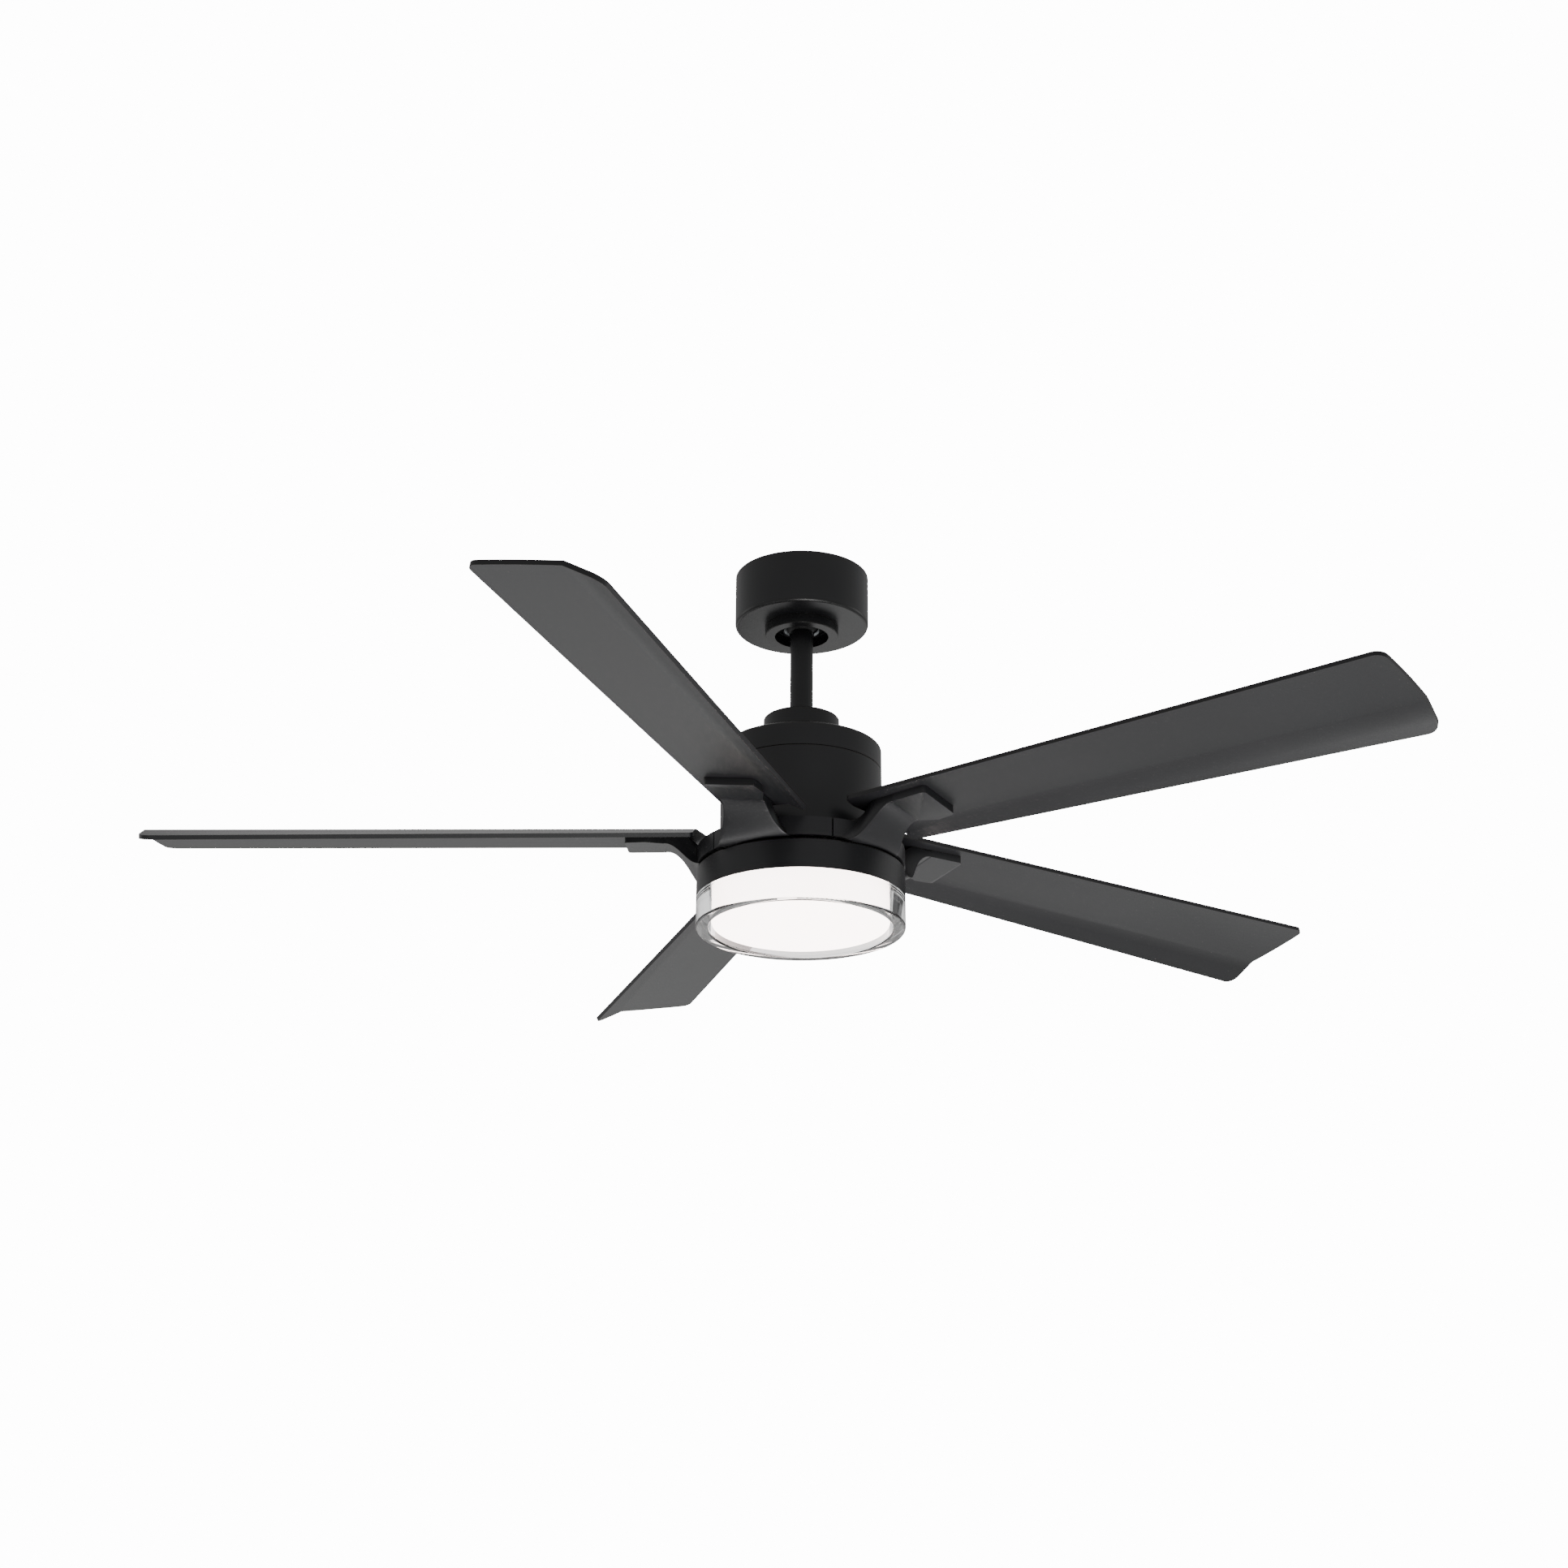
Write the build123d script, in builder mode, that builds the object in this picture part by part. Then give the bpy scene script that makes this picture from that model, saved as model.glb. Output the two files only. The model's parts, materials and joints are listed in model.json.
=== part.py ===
"""Ceiling fan with an LED light: canopy, downrod, drum motor, five folded blades and a clear shade.

The origin is on the fan's axis in the ceiling plane, with +Z up, so that everything hangs below it.
Sizes are in millimetres. Heights named *_Z are measured from the ceiling, so they are negative.
"""

import math
import os

from build123d import *

os.makedirs("parts", exist_ok=True)

# Fits and gaps
FIT = 0.05
GAP = 0.3
SCREW_CLEARANCE = 0.25

# Ceiling bracket and hanger ball
BRACKET_HALF_LENGTH = 58.0
BRACKET_HALF_WIDTH = 22.0
BRACKET_SHEET = 2.5
BRACKET_BOTTOM_Z = -58.5
CEILING_SLOT_SPACING = 88.9
CEILING_SLOT_LENGTH = 14.0
CEILING_SLOT_WIDTH = 5.5
WIRE_HOLE_RADIUS = 12.0
BALL_RADIUS = 24.0
BALL_Z = -46.0
BALL_TOP_Z = -32.0
SOCKET_RADIUS = BALL_RADIUS + 0.1
SOCKET_LOW_ANGLE = 48.0
SOCKET_HIGH_ANGLE = 75.0
SOCKET_NOTCH_WIDTH = 28.0
TAB_ANGLE = 60.0
TAB_WIDTH = 4.0
GROOVE_WIDTH = 5.0
GROOVE_DEPTH = 4.0
SMALL_SCREW_RADIUS = 2.0
LARGE_SCREW_RADIUS = 2.5
GROUND_SCREW_PLACE = (-BRACKET_HALF_LENGTH, 12.0, -22.0)

# Canopy and its trim ring
CANOPY_RADIUS = 74.8
CANOPY_BOTTOM_Z = -60.6
CANOPY_SHEET = 1.0
CANOPY_EDGE_RADIUS = 4.0
CANOPY_HOLE_RADIUS = 28.5
CANOPY_SCREW_CIRCLE = 34.0
TRIM_RADIUS = 41.0
TRIM_SHEET = 0.9
TRIM_BOTTOM_Z = -71.5
TRIM_OPENING_RADIUS = 30.0
TRIM_TAB_ARC = 8.0
TRIM_TAB_RADIUS = 40.4
TRIM_TAB_INNER_RADIUS = 39.4
TRIM_HOOK_INNER_RADIUS = 37.0
TRIM_TWIST = 15.0

# Downrod and coupling
ROD_RADIUS = 12.7
ROD_WALL = 2.0
ROD_TOP_Z = -28.0
ROD_BOTTOM_Z = -203.5
PIN_RADIUS = 3.0
BALL_PIN_Z = -36.0
BALL_PIN_HALF_LENGTH = 20.0
COUPLING_RADIUS = 18.0
COUPLING_TOP_Z = -183.0
COUPLING_FLANGE_RADIUS = 34.0
COUPLING_FLANGE_THICKNESS = 4.0
COUPLING_SCREW_CIRCLE = 26.0
CLEVIS_PIN_Z = -192.0
SET_SCREW_Z = -198.5

# Coupling cover and motor housing
COVER_RADIUS = 41.9
COVER_TOP_Z = -172.5
COVER_SHEET = 1.2
COVER_BORE_RADIUS = ROD_RADIUS + 0.5
HOUSING_RADIUS = 88.35
HOUSING_TOP_Z = -209.0
HOUSING_SHEET = 1.2
HOUSING_EDGE_RADIUS = 3.5
CAP_BOTTOM_Z = -235.8
SLEEVE_TOP_Z = -236.6
SLEEVE_BOTTOM_Z = -327.0
SLEEVE_WALL = 1.5
SLEEVE_FLANGE_Z = -243.3
HOUSING_SCREW_CIRCLE = 72.0

# Motor
SHAFT_RADIUS = 7.5
SHAFT_BORE_RADIUS = 4.5
SHAFT_TOP_Z = -207.5
SHAFT_BOTTOM_Z = -362.0
ROTOR_RADIUS = 80.0
ROTOR_WALL = 6.0
ROTOR_TOP_Z = -262.0
ROTOR_BOTTOM_Z = -339.35
ROTOR_TOP_PLATE = 3.0
ROTOR_BOTTOM_PLATE = 4.55
CORE_RADIUS = 69.7
CORE_TOP_Z = -284.0
CORE_STACK = 32.0
CORE_HUB_RADIUS = 33.0
SHAFT_SLOT_Z = -252.0
SHAFT_SLOT_LENGTH = 12.0
SHAFT_SLOT_WIDTH = 4.0
BEARING_LIP_RADIUS = 14.0
ROTOR_SCREW_RADIUS = 1.5
ROTOR_SCREW_CIRCLE = 77.0
ROTOR_SCREW_COUNT = 6
TOOTH_COUNT = 12
TOOTH_WIDTH = 10.0
TOOTH_SHOE_DEPTH = 7.0
COIL_WIDTH = 16.0
MAGNET_COUNT = 14
MAGNET_THICKNESS = 3.3
MAGNET_TOP_Z = -280.0
MAGNET_HEIGHT = 40.0
INSULATOR_SHEET = 1.2
BOARD_RADIUS = 60.0
BOARD_HOLE_RADIUS = 14.0
BOARD_THICKNESS = 1.6
BOARD_TOP_Z = -226.0
BOARD_BOTTOM_Z = BOARD_TOP_Z - BOARD_THICKNESS
STANDOFF_CIRCLE = 28.0

# 6202 ball bearings
BEARING_OUTER_RADIUS = 17.5
BEARING_WIDTH = 11.0
BEARING_PITCH_RADIUS = 12.5
BEARING_BALL_RADIUS = 2.95
BEARING_GROOVE_RADIUS = 3.05
BEARING_BALL_COUNT = 8
UPPER_BEARING_TOP_Z = -266.0
LOWER_BEARING_TOP_Z = -321.0
BEARING_MIDDLES_Z = (
    UPPER_BEARING_TOP_Z - BEARING_WIDTH / 2,
    LOWER_BEARING_TOP_Z - BEARING_WIDTH / 2,
)

# Blades and blade irons, in each blade's own frame: X outwards, Y along the chord
BLADE_COUNT = 5
FIRST_BLADE_ANGLE = -109.135
BLADE_TIP_RADIUS = 711.0
BLADE_LEAD_CORNER = 12.0
BLADE_TRAIL_CORNER = 14.0
BLADE_ROOT_CORNER = 4.5
BLADE_THICKNESS = 4.8
SECTION_ROOT_X = 80.0
SECTION_TIP_X = 720.0
LEAD_EDGE_TIP = (-60.4, -298.4)
LEAD_EDGE_ROOT = (-50.9, -301.8)
CREASE_TIP = (32.2, -314.3)
CREASE_ROOT = (24.9, -312.2)
TRAIL_EDGE_TIP = (68.6, -334.3)
TRAIL_EDGE_ROOT = (43.7, -322.9)
HUB_RADIUS = 113.0
HUB_WALL = 4.0
HUB_TOP_Z = -327.3
HUB_BOTTOM_Z = -347.35
HUB_WEB_Z = -343.35
HUB_WEB_INNER_RADIUS = 56.0
HUB_TOP_INNER_RADIUS = 90.2
HUB_SEAM = 1.6
PLATE_THICKNESS = 8.0
PLATE_START_X = 150.0
PLATE_MIDDLE_X = 170.0
PLATE_END_X = 191.0
PLATE_LEAD_Y = -39.8
PLATE_TRAIL_Y = 9.2
PLATE_CORNER = 4.5
IRON_SCREW_CIRCLE = 66.0
IRON_SCREW_HALF_ANGLE = 14.0
BLADE_SCREW_PLACES = ((176.0, -28.0), (176.0, 0.0), (154.0, -14.0))

# Light
LIGHT_RADIUS = 113.0
LIGHT_TOP_Z = -351.1
LIGHT_BOTTOM_Z = -383.5
LIGHT_SHEET = 1.5
LIGHT_FLANGE_INNER_RADIUS = 107.0
MOUNT_PLATE_RADIUS = 48.0
MOUNT_PLATE_TOP_Z = -349.0
POST_CIRCLE = 50.0
LIGHT_SCREW_CIRCLE = 36.0
HEAT_SINK_RADIUS = 98.0
HEAT_SINK_TOP_Z = -374.0
HEAT_SINK_SHEET = 3.0
LED_BOARD_RADIUS = 92.0
LED_BOARD_THICKNESS = 1.6
DIFFUSER_RADIUS = 96.0
DIFFUSER_WALL = 2.0
DIFFUSER_BOTTOM_Z = -411.5
SHADE_INNER_RADIUS = 99.0
SHADE_TOP_Z = LIGHT_BOTTOM_Z - GAP
SHADE_BOTTOM_Z = -416.5
SHADE_NECK_RADIUS = 106.6
SHADE_TWIST = 20.0
LUG_ARC = 12.0

UPSIDE_DOWN = Location((0, 0, 0), (180, 0, 0))

# Leads
LEAD_RADIUS = 2.6
LEAD_ROD_X = 6.6
LEAD_TOP_Z = -21.5
LEAD_BOTTOM_Z = -366.5
PLUG_Y = 36.0


def save(builder, name):
    """Label a finished piece and write it as its own STEP file."""
    builder.part.label = name
    export_step(builder.part, f"parts/{name}.step")


def pan_screw(radius, length, head_radius, head_height):
    """A cross-head screw whose head's underside is at z = 0, with its shank running up from it."""
    with BuildPart() as screw:
        with BuildSketch():
            Circle(radius)
        extrude(amount=length)
        with BuildSketch():
            Circle(head_radius)
        extrude(amount=-head_height)
        head_rim = screw.edges().filter_by(GeomType.CIRCLE).sort_by(Axis.Z)[0]
        fillet(head_rim, head_height * 0.45)
        with BuildSketch(Plane.XY.offset(-head_height)):
            Rectangle(head_radius * 1.1, head_radius * 0.28)
            Rectangle(head_radius * 0.28, head_radius * 1.1)
        extrude(amount=head_height * 0.5, mode=Mode.SUBTRACT)
    return screw.part


def hanger_bracket():
    """Sheet-steel hanger with ceiling slots above and an open ball socket below."""
    with BuildPart() as bracket:
        with BuildSketch(Plane.XZ):
            with Locations((0, BRACKET_BOTTOM_Z / 2)):
                Rectangle(2 * BRACKET_HALF_LENGTH, -BRACKET_BOTTOM_Z)
                Rectangle(
                    2 * (BRACKET_HALF_LENGTH - BRACKET_SHEET),
                    -BRACKET_BOTTOM_Z - 2 * BRACKET_SHEET,
                    mode=Mode.SUBTRACT,
                )
        extrude(amount=BRACKET_HALF_WIDTH, both=True)
        bends = bracket.edges().filter_by(Axis.Y)
        fillet(bends.filter_by_position(Axis.Z, BRACKET_BOTTOM_Z, 0), 2.0)
        with BuildSketch(Plane.XY):
            with GridLocations(CEILING_SLOT_SPACING, 0, 2, 1):
                SlotOverall(CEILING_SLOT_LENGTH, CEILING_SLOT_WIDTH)
            Circle(WIRE_HOLE_RADIUS)
        extrude(amount=-BRACKET_SHEET, mode=Mode.SUBTRACT)
        with BuildSketch(Plane.XY.offset(BRACKET_BOTTOM_Z)):
            Circle(SOCKET_RADIUS)
            with GridLocations(2 * CANOPY_SCREW_CIRCLE, 0, 2, 1):
                Circle(SMALL_SCREW_RADIUS + FIT)
        extrude(amount=BRACKET_SHEET, mode=Mode.SUBTRACT)
        with BuildSketch(Plane(origin=GROUND_SCREW_PLACE, z_dir=(1, 0, 0))):
            Circle(SMALL_SCREW_RADIUS + FIT)
        extrude(amount=BRACKET_SHEET, mode=Mode.SUBTRACT)
        with BuildSketch(Plane.XZ):
            with BuildLine():
                inner_low = socket_point(SOCKET_RADIUS, SOCKET_LOW_ANGLE)
                inner_high = socket_point(SOCKET_RADIUS, SOCKET_HIGH_ANGLE)
                outer_low = socket_point(SOCKET_RADIUS + BRACKET_SHEET, SOCKET_LOW_ANGLE)
                outer_high = socket_point(SOCKET_RADIUS + BRACKET_SHEET, SOCKET_HIGH_ANGLE)
                middle = (SOCKET_LOW_ANGLE + SOCKET_HIGH_ANGLE) / 2
                ThreePointArc(inner_low, socket_point(SOCKET_RADIUS, middle), inner_high)
                Line(inner_high, outer_high)
                ThreePointArc(
                    outer_high, socket_point(SOCKET_RADIUS + BRACKET_SHEET, middle), outer_low
                )
                Line(outer_low, inner_low)
            make_face()
        revolve(axis=Axis.Z)
        with BuildSketch(Plane.XY.offset(BRACKET_BOTTOM_Z - 10)):
            with Locations((0, BRACKET_HALF_WIDTH)):
                Rectangle(SOCKET_NOTCH_WIDTH, 2 * BRACKET_HALF_WIDTH)
        extrude(amount=30, mode=Mode.SUBTRACT)
        slant = math.radians(TAB_ANGLE)
        tab_plane = Plane(
            origin=(0, 0, BALL_Z), x_dir=(0, 1, 0), z_dir=(math.sin(slant), 0, -math.cos(slant))
        )
        with BuildSketch(tab_plane.offset(SOCKET_RADIUS - 2.5)):
            Rectangle(TAB_WIDTH, TAB_WIDTH)
        extrude(amount=3.5)
    return bracket


def socket_point(radius, angle):
    """A point at an angle from straight down, seen from the ball's centre."""
    turn = math.radians(angle)
    return (radius * math.sin(turn), BALL_Z - radius * math.cos(turn))


def hanger_ball():
    """Ball with a bore for the rod, a slot for the cross pin and a groove that stops it turning."""
    with BuildPart() as ball:
        with Locations((0, 0, BALL_Z)):
            Sphere(BALL_RADIUS)
        split(bisect_by=Plane.XY.offset(BALL_TOP_Z), keep=Keep.BOTTOM)
        with BuildSketch(Plane.XY.offset(BALL_Z - BALL_RADIUS)):
            Circle(ROD_RADIUS + FIT)
        extrude(amount=2 * BALL_RADIUS, mode=Mode.SUBTRACT)
        with BuildSketch(Plane.XZ):
            with Locations((0, BALL_PIN_Z)):
                Circle(PIN_RADIUS + FIT)
            with Locations((0, (BALL_PIN_Z + BALL_TOP_Z) / 2)):
                Rectangle(2 * (PIN_RADIUS + FIT), BALL_TOP_Z - BALL_PIN_Z)
        extrude(amount=BALL_RADIUS, both=True, mode=Mode.SUBTRACT)
        with BuildSketch(Plane.XY.offset(BALL_Z)):
            with Locations((BALL_RADIUS - GROOVE_DEPTH / 2 + 0.5, 0)):
                Rectangle(GROOVE_DEPTH + 1, GROOVE_WIDTH)
        revolve(axis=Axis((0, 0, BALL_Z), (0, 1, 0)), revolution_arc=70, mode=Mode.SUBTRACT)
        with BuildSketch(Plane.YZ):
            with Locations((0, BALL_Z)):
                Circle(SMALL_SCREW_RADIUS + FIT)
        extrude(amount=-BALL_RADIUS, mode=Mode.SUBTRACT)
    return ball


def canopy():
    """Drawn canopy cup, open to the ceiling, with screw holes and two twist slots in its floor."""
    with BuildPart() as cup:
        with BuildSketch(Plane.XY.offset(CANOPY_BOTTOM_Z)):
            Circle(CANOPY_RADIUS)
        extrude(amount=-CANOPY_BOTTOM_Z)
        fillet(cup.edges().sort_by(Axis.Z)[0], CANOPY_EDGE_RADIUS)
        offset(amount=-CANOPY_SHEET, openings=cup.faces().sort_by(Axis.Z)[-1])
        with BuildSketch(Plane.XY.offset(CANOPY_BOTTOM_Z)):
            Circle(CANOPY_HOLE_RADIUS)
            with GridLocations(2 * CANOPY_SCREW_CIRCLE, 0, 2, 1):
                Circle(SMALL_SCREW_RADIUS + SCREW_CLEARANCE)
        extrude(amount=CANOPY_SHEET, mode=Mode.SUBTRACT)
        outer = TRIM_TAB_RADIUS + 0.3
        for side in (90, 270):
            for start, inner in (
                (side, TRIM_TAB_INNER_RADIUS - 0.4),
                (side + TRIM_TWIST, TRIM_HOOK_INNER_RADIUS - 0.4),
            ):
                with BuildSketch(turned_plane(start - 6)):
                    with Locations(((inner + outer) / 2, CANOPY_BOTTOM_Z + CANOPY_SHEET / 2)):
                        Rectangle(outer - inner, 2 * CANOPY_SHEET)
                revolve(
                    axis=Axis.Z,
                    revolution_arc=side + TRIM_TWIST + 12 - start,
                    mode=Mode.SUBTRACT,
                )
    return cup


def turned_plane(angle):
    """The upright plane through the Z axis whose X runs outwards at an angle."""
    turn = math.radians(angle)
    outwards = (math.cos(turn), math.sin(turn), 0)
    return Plane(origin=(0, 0, 0), x_dir=outwards, z_dir=(math.sin(turn), -math.cos(turn), 0))


def canopy_trim_ring():
    """Shallow cup that hides the canopy screws, held by two hooked tabs."""
    top = CANOPY_BOTTOM_Z - 0.1
    with BuildPart() as trim:
        with BuildSketch(Plane.XZ) as profile:
            with BuildLine():
                Polyline(
                    (TRIM_OPENING_RADIUS, TRIM_BOTTOM_Z),
                    (TRIM_RADIUS, TRIM_BOTTOM_Z),
                    (TRIM_RADIUS, top),
                    (TRIM_RADIUS - TRIM_SHEET, top),
                    (TRIM_RADIUS - TRIM_SHEET, TRIM_BOTTOM_Z + TRIM_SHEET),
                    (TRIM_OPENING_RADIUS, TRIM_BOTTOM_Z + TRIM_SHEET),
                    close=True,
                )
            make_face()
            outer_corner = profile.vertices().group_by(Axis.X)[-1].sort_by(Axis.Z)[0]
            fillet(outer_corner, 0.8)
        revolve(axis=Axis.Z)
        hook_low = CANOPY_BOTTOM_Z + CANOPY_SHEET + 0.2
        for side in (90, 270):
            with BuildSketch(turned_plane(side - TRIM_TAB_ARC / 2)):
                with BuildLine():
                    Polyline(
                        (TRIM_TAB_INNER_RADIUS, CANOPY_BOTTOM_Z - 4),
                        (TRIM_TAB_RADIUS, CANOPY_BOTTOM_Z - 4),
                        (TRIM_TAB_RADIUS, hook_low + TRIM_SHEET),
                        (TRIM_HOOK_INNER_RADIUS, hook_low + TRIM_SHEET),
                        (TRIM_HOOK_INNER_RADIUS, hook_low),
                        (TRIM_TAB_INNER_RADIUS, hook_low),
                        close=True,
                    )
                make_face()
            revolve(axis=Axis.Z, revolution_arc=TRIM_TAB_ARC)
    return trim


def downrod():
    """Steel tube with a cross hole for each pin."""
    with BuildPart() as rod:
        with BuildSketch(Plane.XY.offset(ROD_BOTTOM_Z)):
            Circle(ROD_RADIUS)
            Circle(ROD_RADIUS - ROD_WALL, mode=Mode.SUBTRACT)
        extrude(amount=ROD_TOP_Z - ROD_BOTTOM_Z)
        with BuildSketch(Plane.XZ):
            with Locations((0, BALL_PIN_Z), (0, CLEVIS_PIN_Z)):
                Circle(PIN_RADIUS + FIT)
        extrude(amount=2 * ROD_RADIUS, both=True, mode=Mode.SUBTRACT)
    return rod


def cross_pin(height, low_y, high_y, head_radius=0.0):
    """A pin along Y, with a head at its far end if it has one."""
    with BuildPart() as pin:
        with BuildSketch(Plane.XZ.offset(-low_y)):
            with Locations((0, height)):
                Circle(PIN_RADIUS)
        extrude(amount=low_y - high_y)
        chamfer(pin.edges().filter_by(GeomType.CIRCLE), 0.5)
        if head_radius:
            with BuildSketch(Plane.XZ.offset(-high_y)):
                with Locations((0, height)):
                    Circle(head_radius)
            extrude(amount=-2.5)
            with BuildSketch(Plane.XY.offset(height - 2 * PIN_RADIUS)):
                with Locations((0, low_y + 2.4)):
                    Circle(0.95)
            extrude(amount=4 * PIN_RADIUS, mode=Mode.SUBTRACT)
    return pin


def set_screws():
    """Grub screws that point at the axis: one in the ball and two in the coupling."""
    with BuildPart() as screws:
        for side, height, radius, reach in (
            (-1, BALL_Z, 2.0, 8.0),
            (-1, SET_SCREW_Z, 3.0, 6.5),
            (1, SET_SCREW_Z, 3.0, 6.5),
        ):
            with BuildSketch(Plane(origin=(side * (ROD_RADIUS + FIT), 0, height), z_dir=(side, 0, 0))):
                Circle(radius)
            extrude(amount=reach)
            with BuildSketch(
                Plane(origin=(side * (ROD_RADIUS + reach), 0, height), z_dir=(-side, 0, 0))
            ):
                RegularPolygon(radius * 0.55, 6)
            extrude(amount=2.0, mode=Mode.SUBTRACT)
    return screws


def motor_coupling():
    """Yoke that clamps the rod above and the hollow shaft below, with a flange for the housing."""
    flange_top = HOUSING_TOP_Z - HOUSING_SHEET
    flange_bottom = flange_top - COUPLING_FLANGE_THICKNESS
    with BuildPart() as yoke:
        with BuildSketch(Plane.XY.offset(flange_bottom)):
            Circle(COUPLING_FLANGE_RADIUS)
        extrude(amount=COUPLING_FLANGE_THICKNESS)
        with BuildSketch(Plane.XY.offset(flange_top)):
            Circle(COUPLING_RADIUS)
        extrude(amount=COUPLING_TOP_Z - flange_top)
        fillet(yoke.edges().filter_by(GeomType.CIRCLE).sort_by(Axis.Z)[-1], 1.5)
        with BuildSketch(Plane.XY.offset(flange_bottom)):
            Circle(SHAFT_RADIUS + FIT)
        extrude(amount=COUPLING_TOP_Z - flange_bottom, mode=Mode.SUBTRACT)
        with BuildSketch(Plane.XY.offset(ROD_BOTTOM_Z - 0.5)):
            Circle(ROD_RADIUS + FIT)
        extrude(amount=COUPLING_TOP_Z - ROD_BOTTOM_Z + 1, mode=Mode.SUBTRACT)
        with BuildSketch(Plane.XZ):
            with Locations((0, CLEVIS_PIN_Z)):
                Circle(PIN_RADIUS + FIT)
        extrude(amount=2 * COUPLING_RADIUS, both=True, mode=Mode.SUBTRACT)
        with BuildSketch(Plane.YZ):
            with Locations((0, SET_SCREW_Z)):
                Circle(3.0 + FIT)
        extrude(amount=2 * COUPLING_RADIUS, both=True, mode=Mode.SUBTRACT)
        with BuildSketch(Plane.XY.offset(flange_bottom)):
            with PolarLocations(COUPLING_SCREW_CIRCLE, 4, start_angle=45):
                Circle(LARGE_SCREW_RADIUS + FIT)
        extrude(amount=COUPLING_FLANGE_THICKNESS, mode=Mode.SUBTRACT)
    return yoke


def hairpin_cotter():
    """Bent wire clip: a straight leg through the clevis pin and a humped leg round it."""
    wire = 0.8
    leg_y = -COUPLING_RADIUS - 6 + 2.4
    plane = Plane.XZ.offset(-leg_y)
    with BuildPart() as clip:
        with BuildLine(plane) as path:
            FilletPolyline(
                (0, CLEVIS_PIN_Z - 9),
                (0, CLEVIS_PIN_Z + 7),
                (5.2, CLEVIS_PIN_Z + 7),
                (5.2, CLEVIS_PIN_Z - 6),
                (7.2, CLEVIS_PIN_Z - 9),
                radius=1.6,
            )
        with BuildSketch(Plane(origin=path.line @ 0, z_dir=path.line % 0)):
            Circle(wire)
        sweep(path=path.line)
    return clip


def coupling_cover():
    """Drawn cup that slides on the rod and hides the coupling."""
    with BuildPart() as cup:
        with BuildSketch(Plane.XY.offset(HOUSING_TOP_Z + 0.2)):
            Circle(COVER_RADIUS)
        extrude(amount=COVER_TOP_Z - HOUSING_TOP_Z - 0.2)
        fillet(cup.edges().sort_by(Axis.Z)[-1], 1.6)
        offset(amount=-COVER_SHEET, openings=cup.faces().sort_by(Axis.Z)[0])
        with BuildSketch(Plane.XY.offset(COVER_TOP_Z)):
            Circle(COVER_BORE_RADIUS)
        extrude(amount=-2 * COVER_SHEET, mode=Mode.SUBTRACT)
    return cup


def motor_housing_cap():
    """Upper shell of the motor housing, with a lip that centres the sleeve."""
    lip_inner = HOUSING_RADIUS - SLEEVE_WALL - 1.6
    with BuildPart() as cap:
        with BuildSketch(Plane.XY.offset(CAP_BOTTOM_Z)):
            Circle(HOUSING_RADIUS)
        extrude(amount=HOUSING_TOP_Z - CAP_BOTTOM_Z)
        fillet(cap.edges().sort_by(Axis.Z)[-1], HOUSING_EDGE_RADIUS)
        offset(amount=-HOUSING_SHEET, openings=cap.faces().sort_by(Axis.Z)[0])
        with BuildSketch(Plane.XY.offset(CAP_BOTTOM_Z)):
            Circle(HOUSING_RADIUS - HOUSING_SHEET + 0.3)
            Circle(lip_inner, mode=Mode.SUBTRACT)
        extrude(amount=4.5)
        with BuildSketch(Plane.XY.offset(CAP_BOTTOM_Z)):
            Circle(HOUSING_RADIUS - SLEEVE_WALL - 0.15)
            Circle(lip_inner, mode=Mode.SUBTRACT)
        extrude(amount=SLEEVE_FLANGE_Z + 0.3 - CAP_BOTTOM_Z)
        with BuildSketch(Plane.XY.offset(HOUSING_TOP_Z)):
            Circle(COUPLING_RADIUS + GAP)
            with PolarLocations(COUPLING_SCREW_CIRCLE, 4, start_angle=45):
                Circle(LARGE_SCREW_RADIUS + SCREW_CLEARANCE)
            with PolarLocations(HOUSING_SCREW_CIRCLE, 4):
                Circle(SMALL_SCREW_RADIUS + SCREW_CLEARANCE)
        extrude(amount=-HOUSING_SHEET, mode=Mode.SUBTRACT)
    return cap


def motor_housing_sleeve():
    """Lower shell of the motor housing, with an inner flange for the long screws."""
    with BuildPart() as sleeve:
        with BuildSketch(Plane.XY.offset(SLEEVE_BOTTOM_Z)):
            Circle(HOUSING_RADIUS)
            Circle(HOUSING_RADIUS - SLEEVE_WALL, mode=Mode.SUBTRACT)
        extrude(amount=SLEEVE_TOP_Z - SLEEVE_BOTTOM_Z)
        with BuildSketch(Plane.XY.offset(SLEEVE_FLANGE_Z)):
            Circle(HOUSING_RADIUS - SLEEVE_WALL / 2)
            Circle(HOUSING_SCREW_CIRCLE - 6, mode=Mode.SUBTRACT)
            with PolarLocations(HOUSING_SCREW_CIRCLE, 4):
                Circle(SMALL_SCREW_RADIUS + FIT, mode=Mode.SUBTRACT)
        extrude(amount=-2.0)
        fillet(sleeve.edges().filter_by(GeomType.CIRCLE).group_by(Axis.Z)[0][0], 0.5)
    return sleeve


def motor_shaft():
    """Hollow fixed shaft that carries the stator, the bearings and the light."""
    with BuildPart() as shaft:
        with BuildSketch(Plane.XY.offset(SHAFT_BOTTOM_Z)):
            Circle(SHAFT_RADIUS)
            Circle(SHAFT_BORE_RADIUS, mode=Mode.SUBTRACT)
        extrude(amount=SHAFT_TOP_Z - SHAFT_BOTTOM_Z)
        chamfer(shaft.faces().sort_by(Axis.Z)[0].edges().sort_by(SortBy.RADIUS)[-1], 0.8)
        with BuildSketch(Plane.YZ):
            with Locations((0, SHAFT_SLOT_Z)):
                SlotOverall(SHAFT_SLOT_LENGTH, SHAFT_SLOT_WIDTH, rotation=90)
        extrude(amount=-2 * SHAFT_RADIUS, mode=Mode.SUBTRACT)
    return shaft


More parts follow.
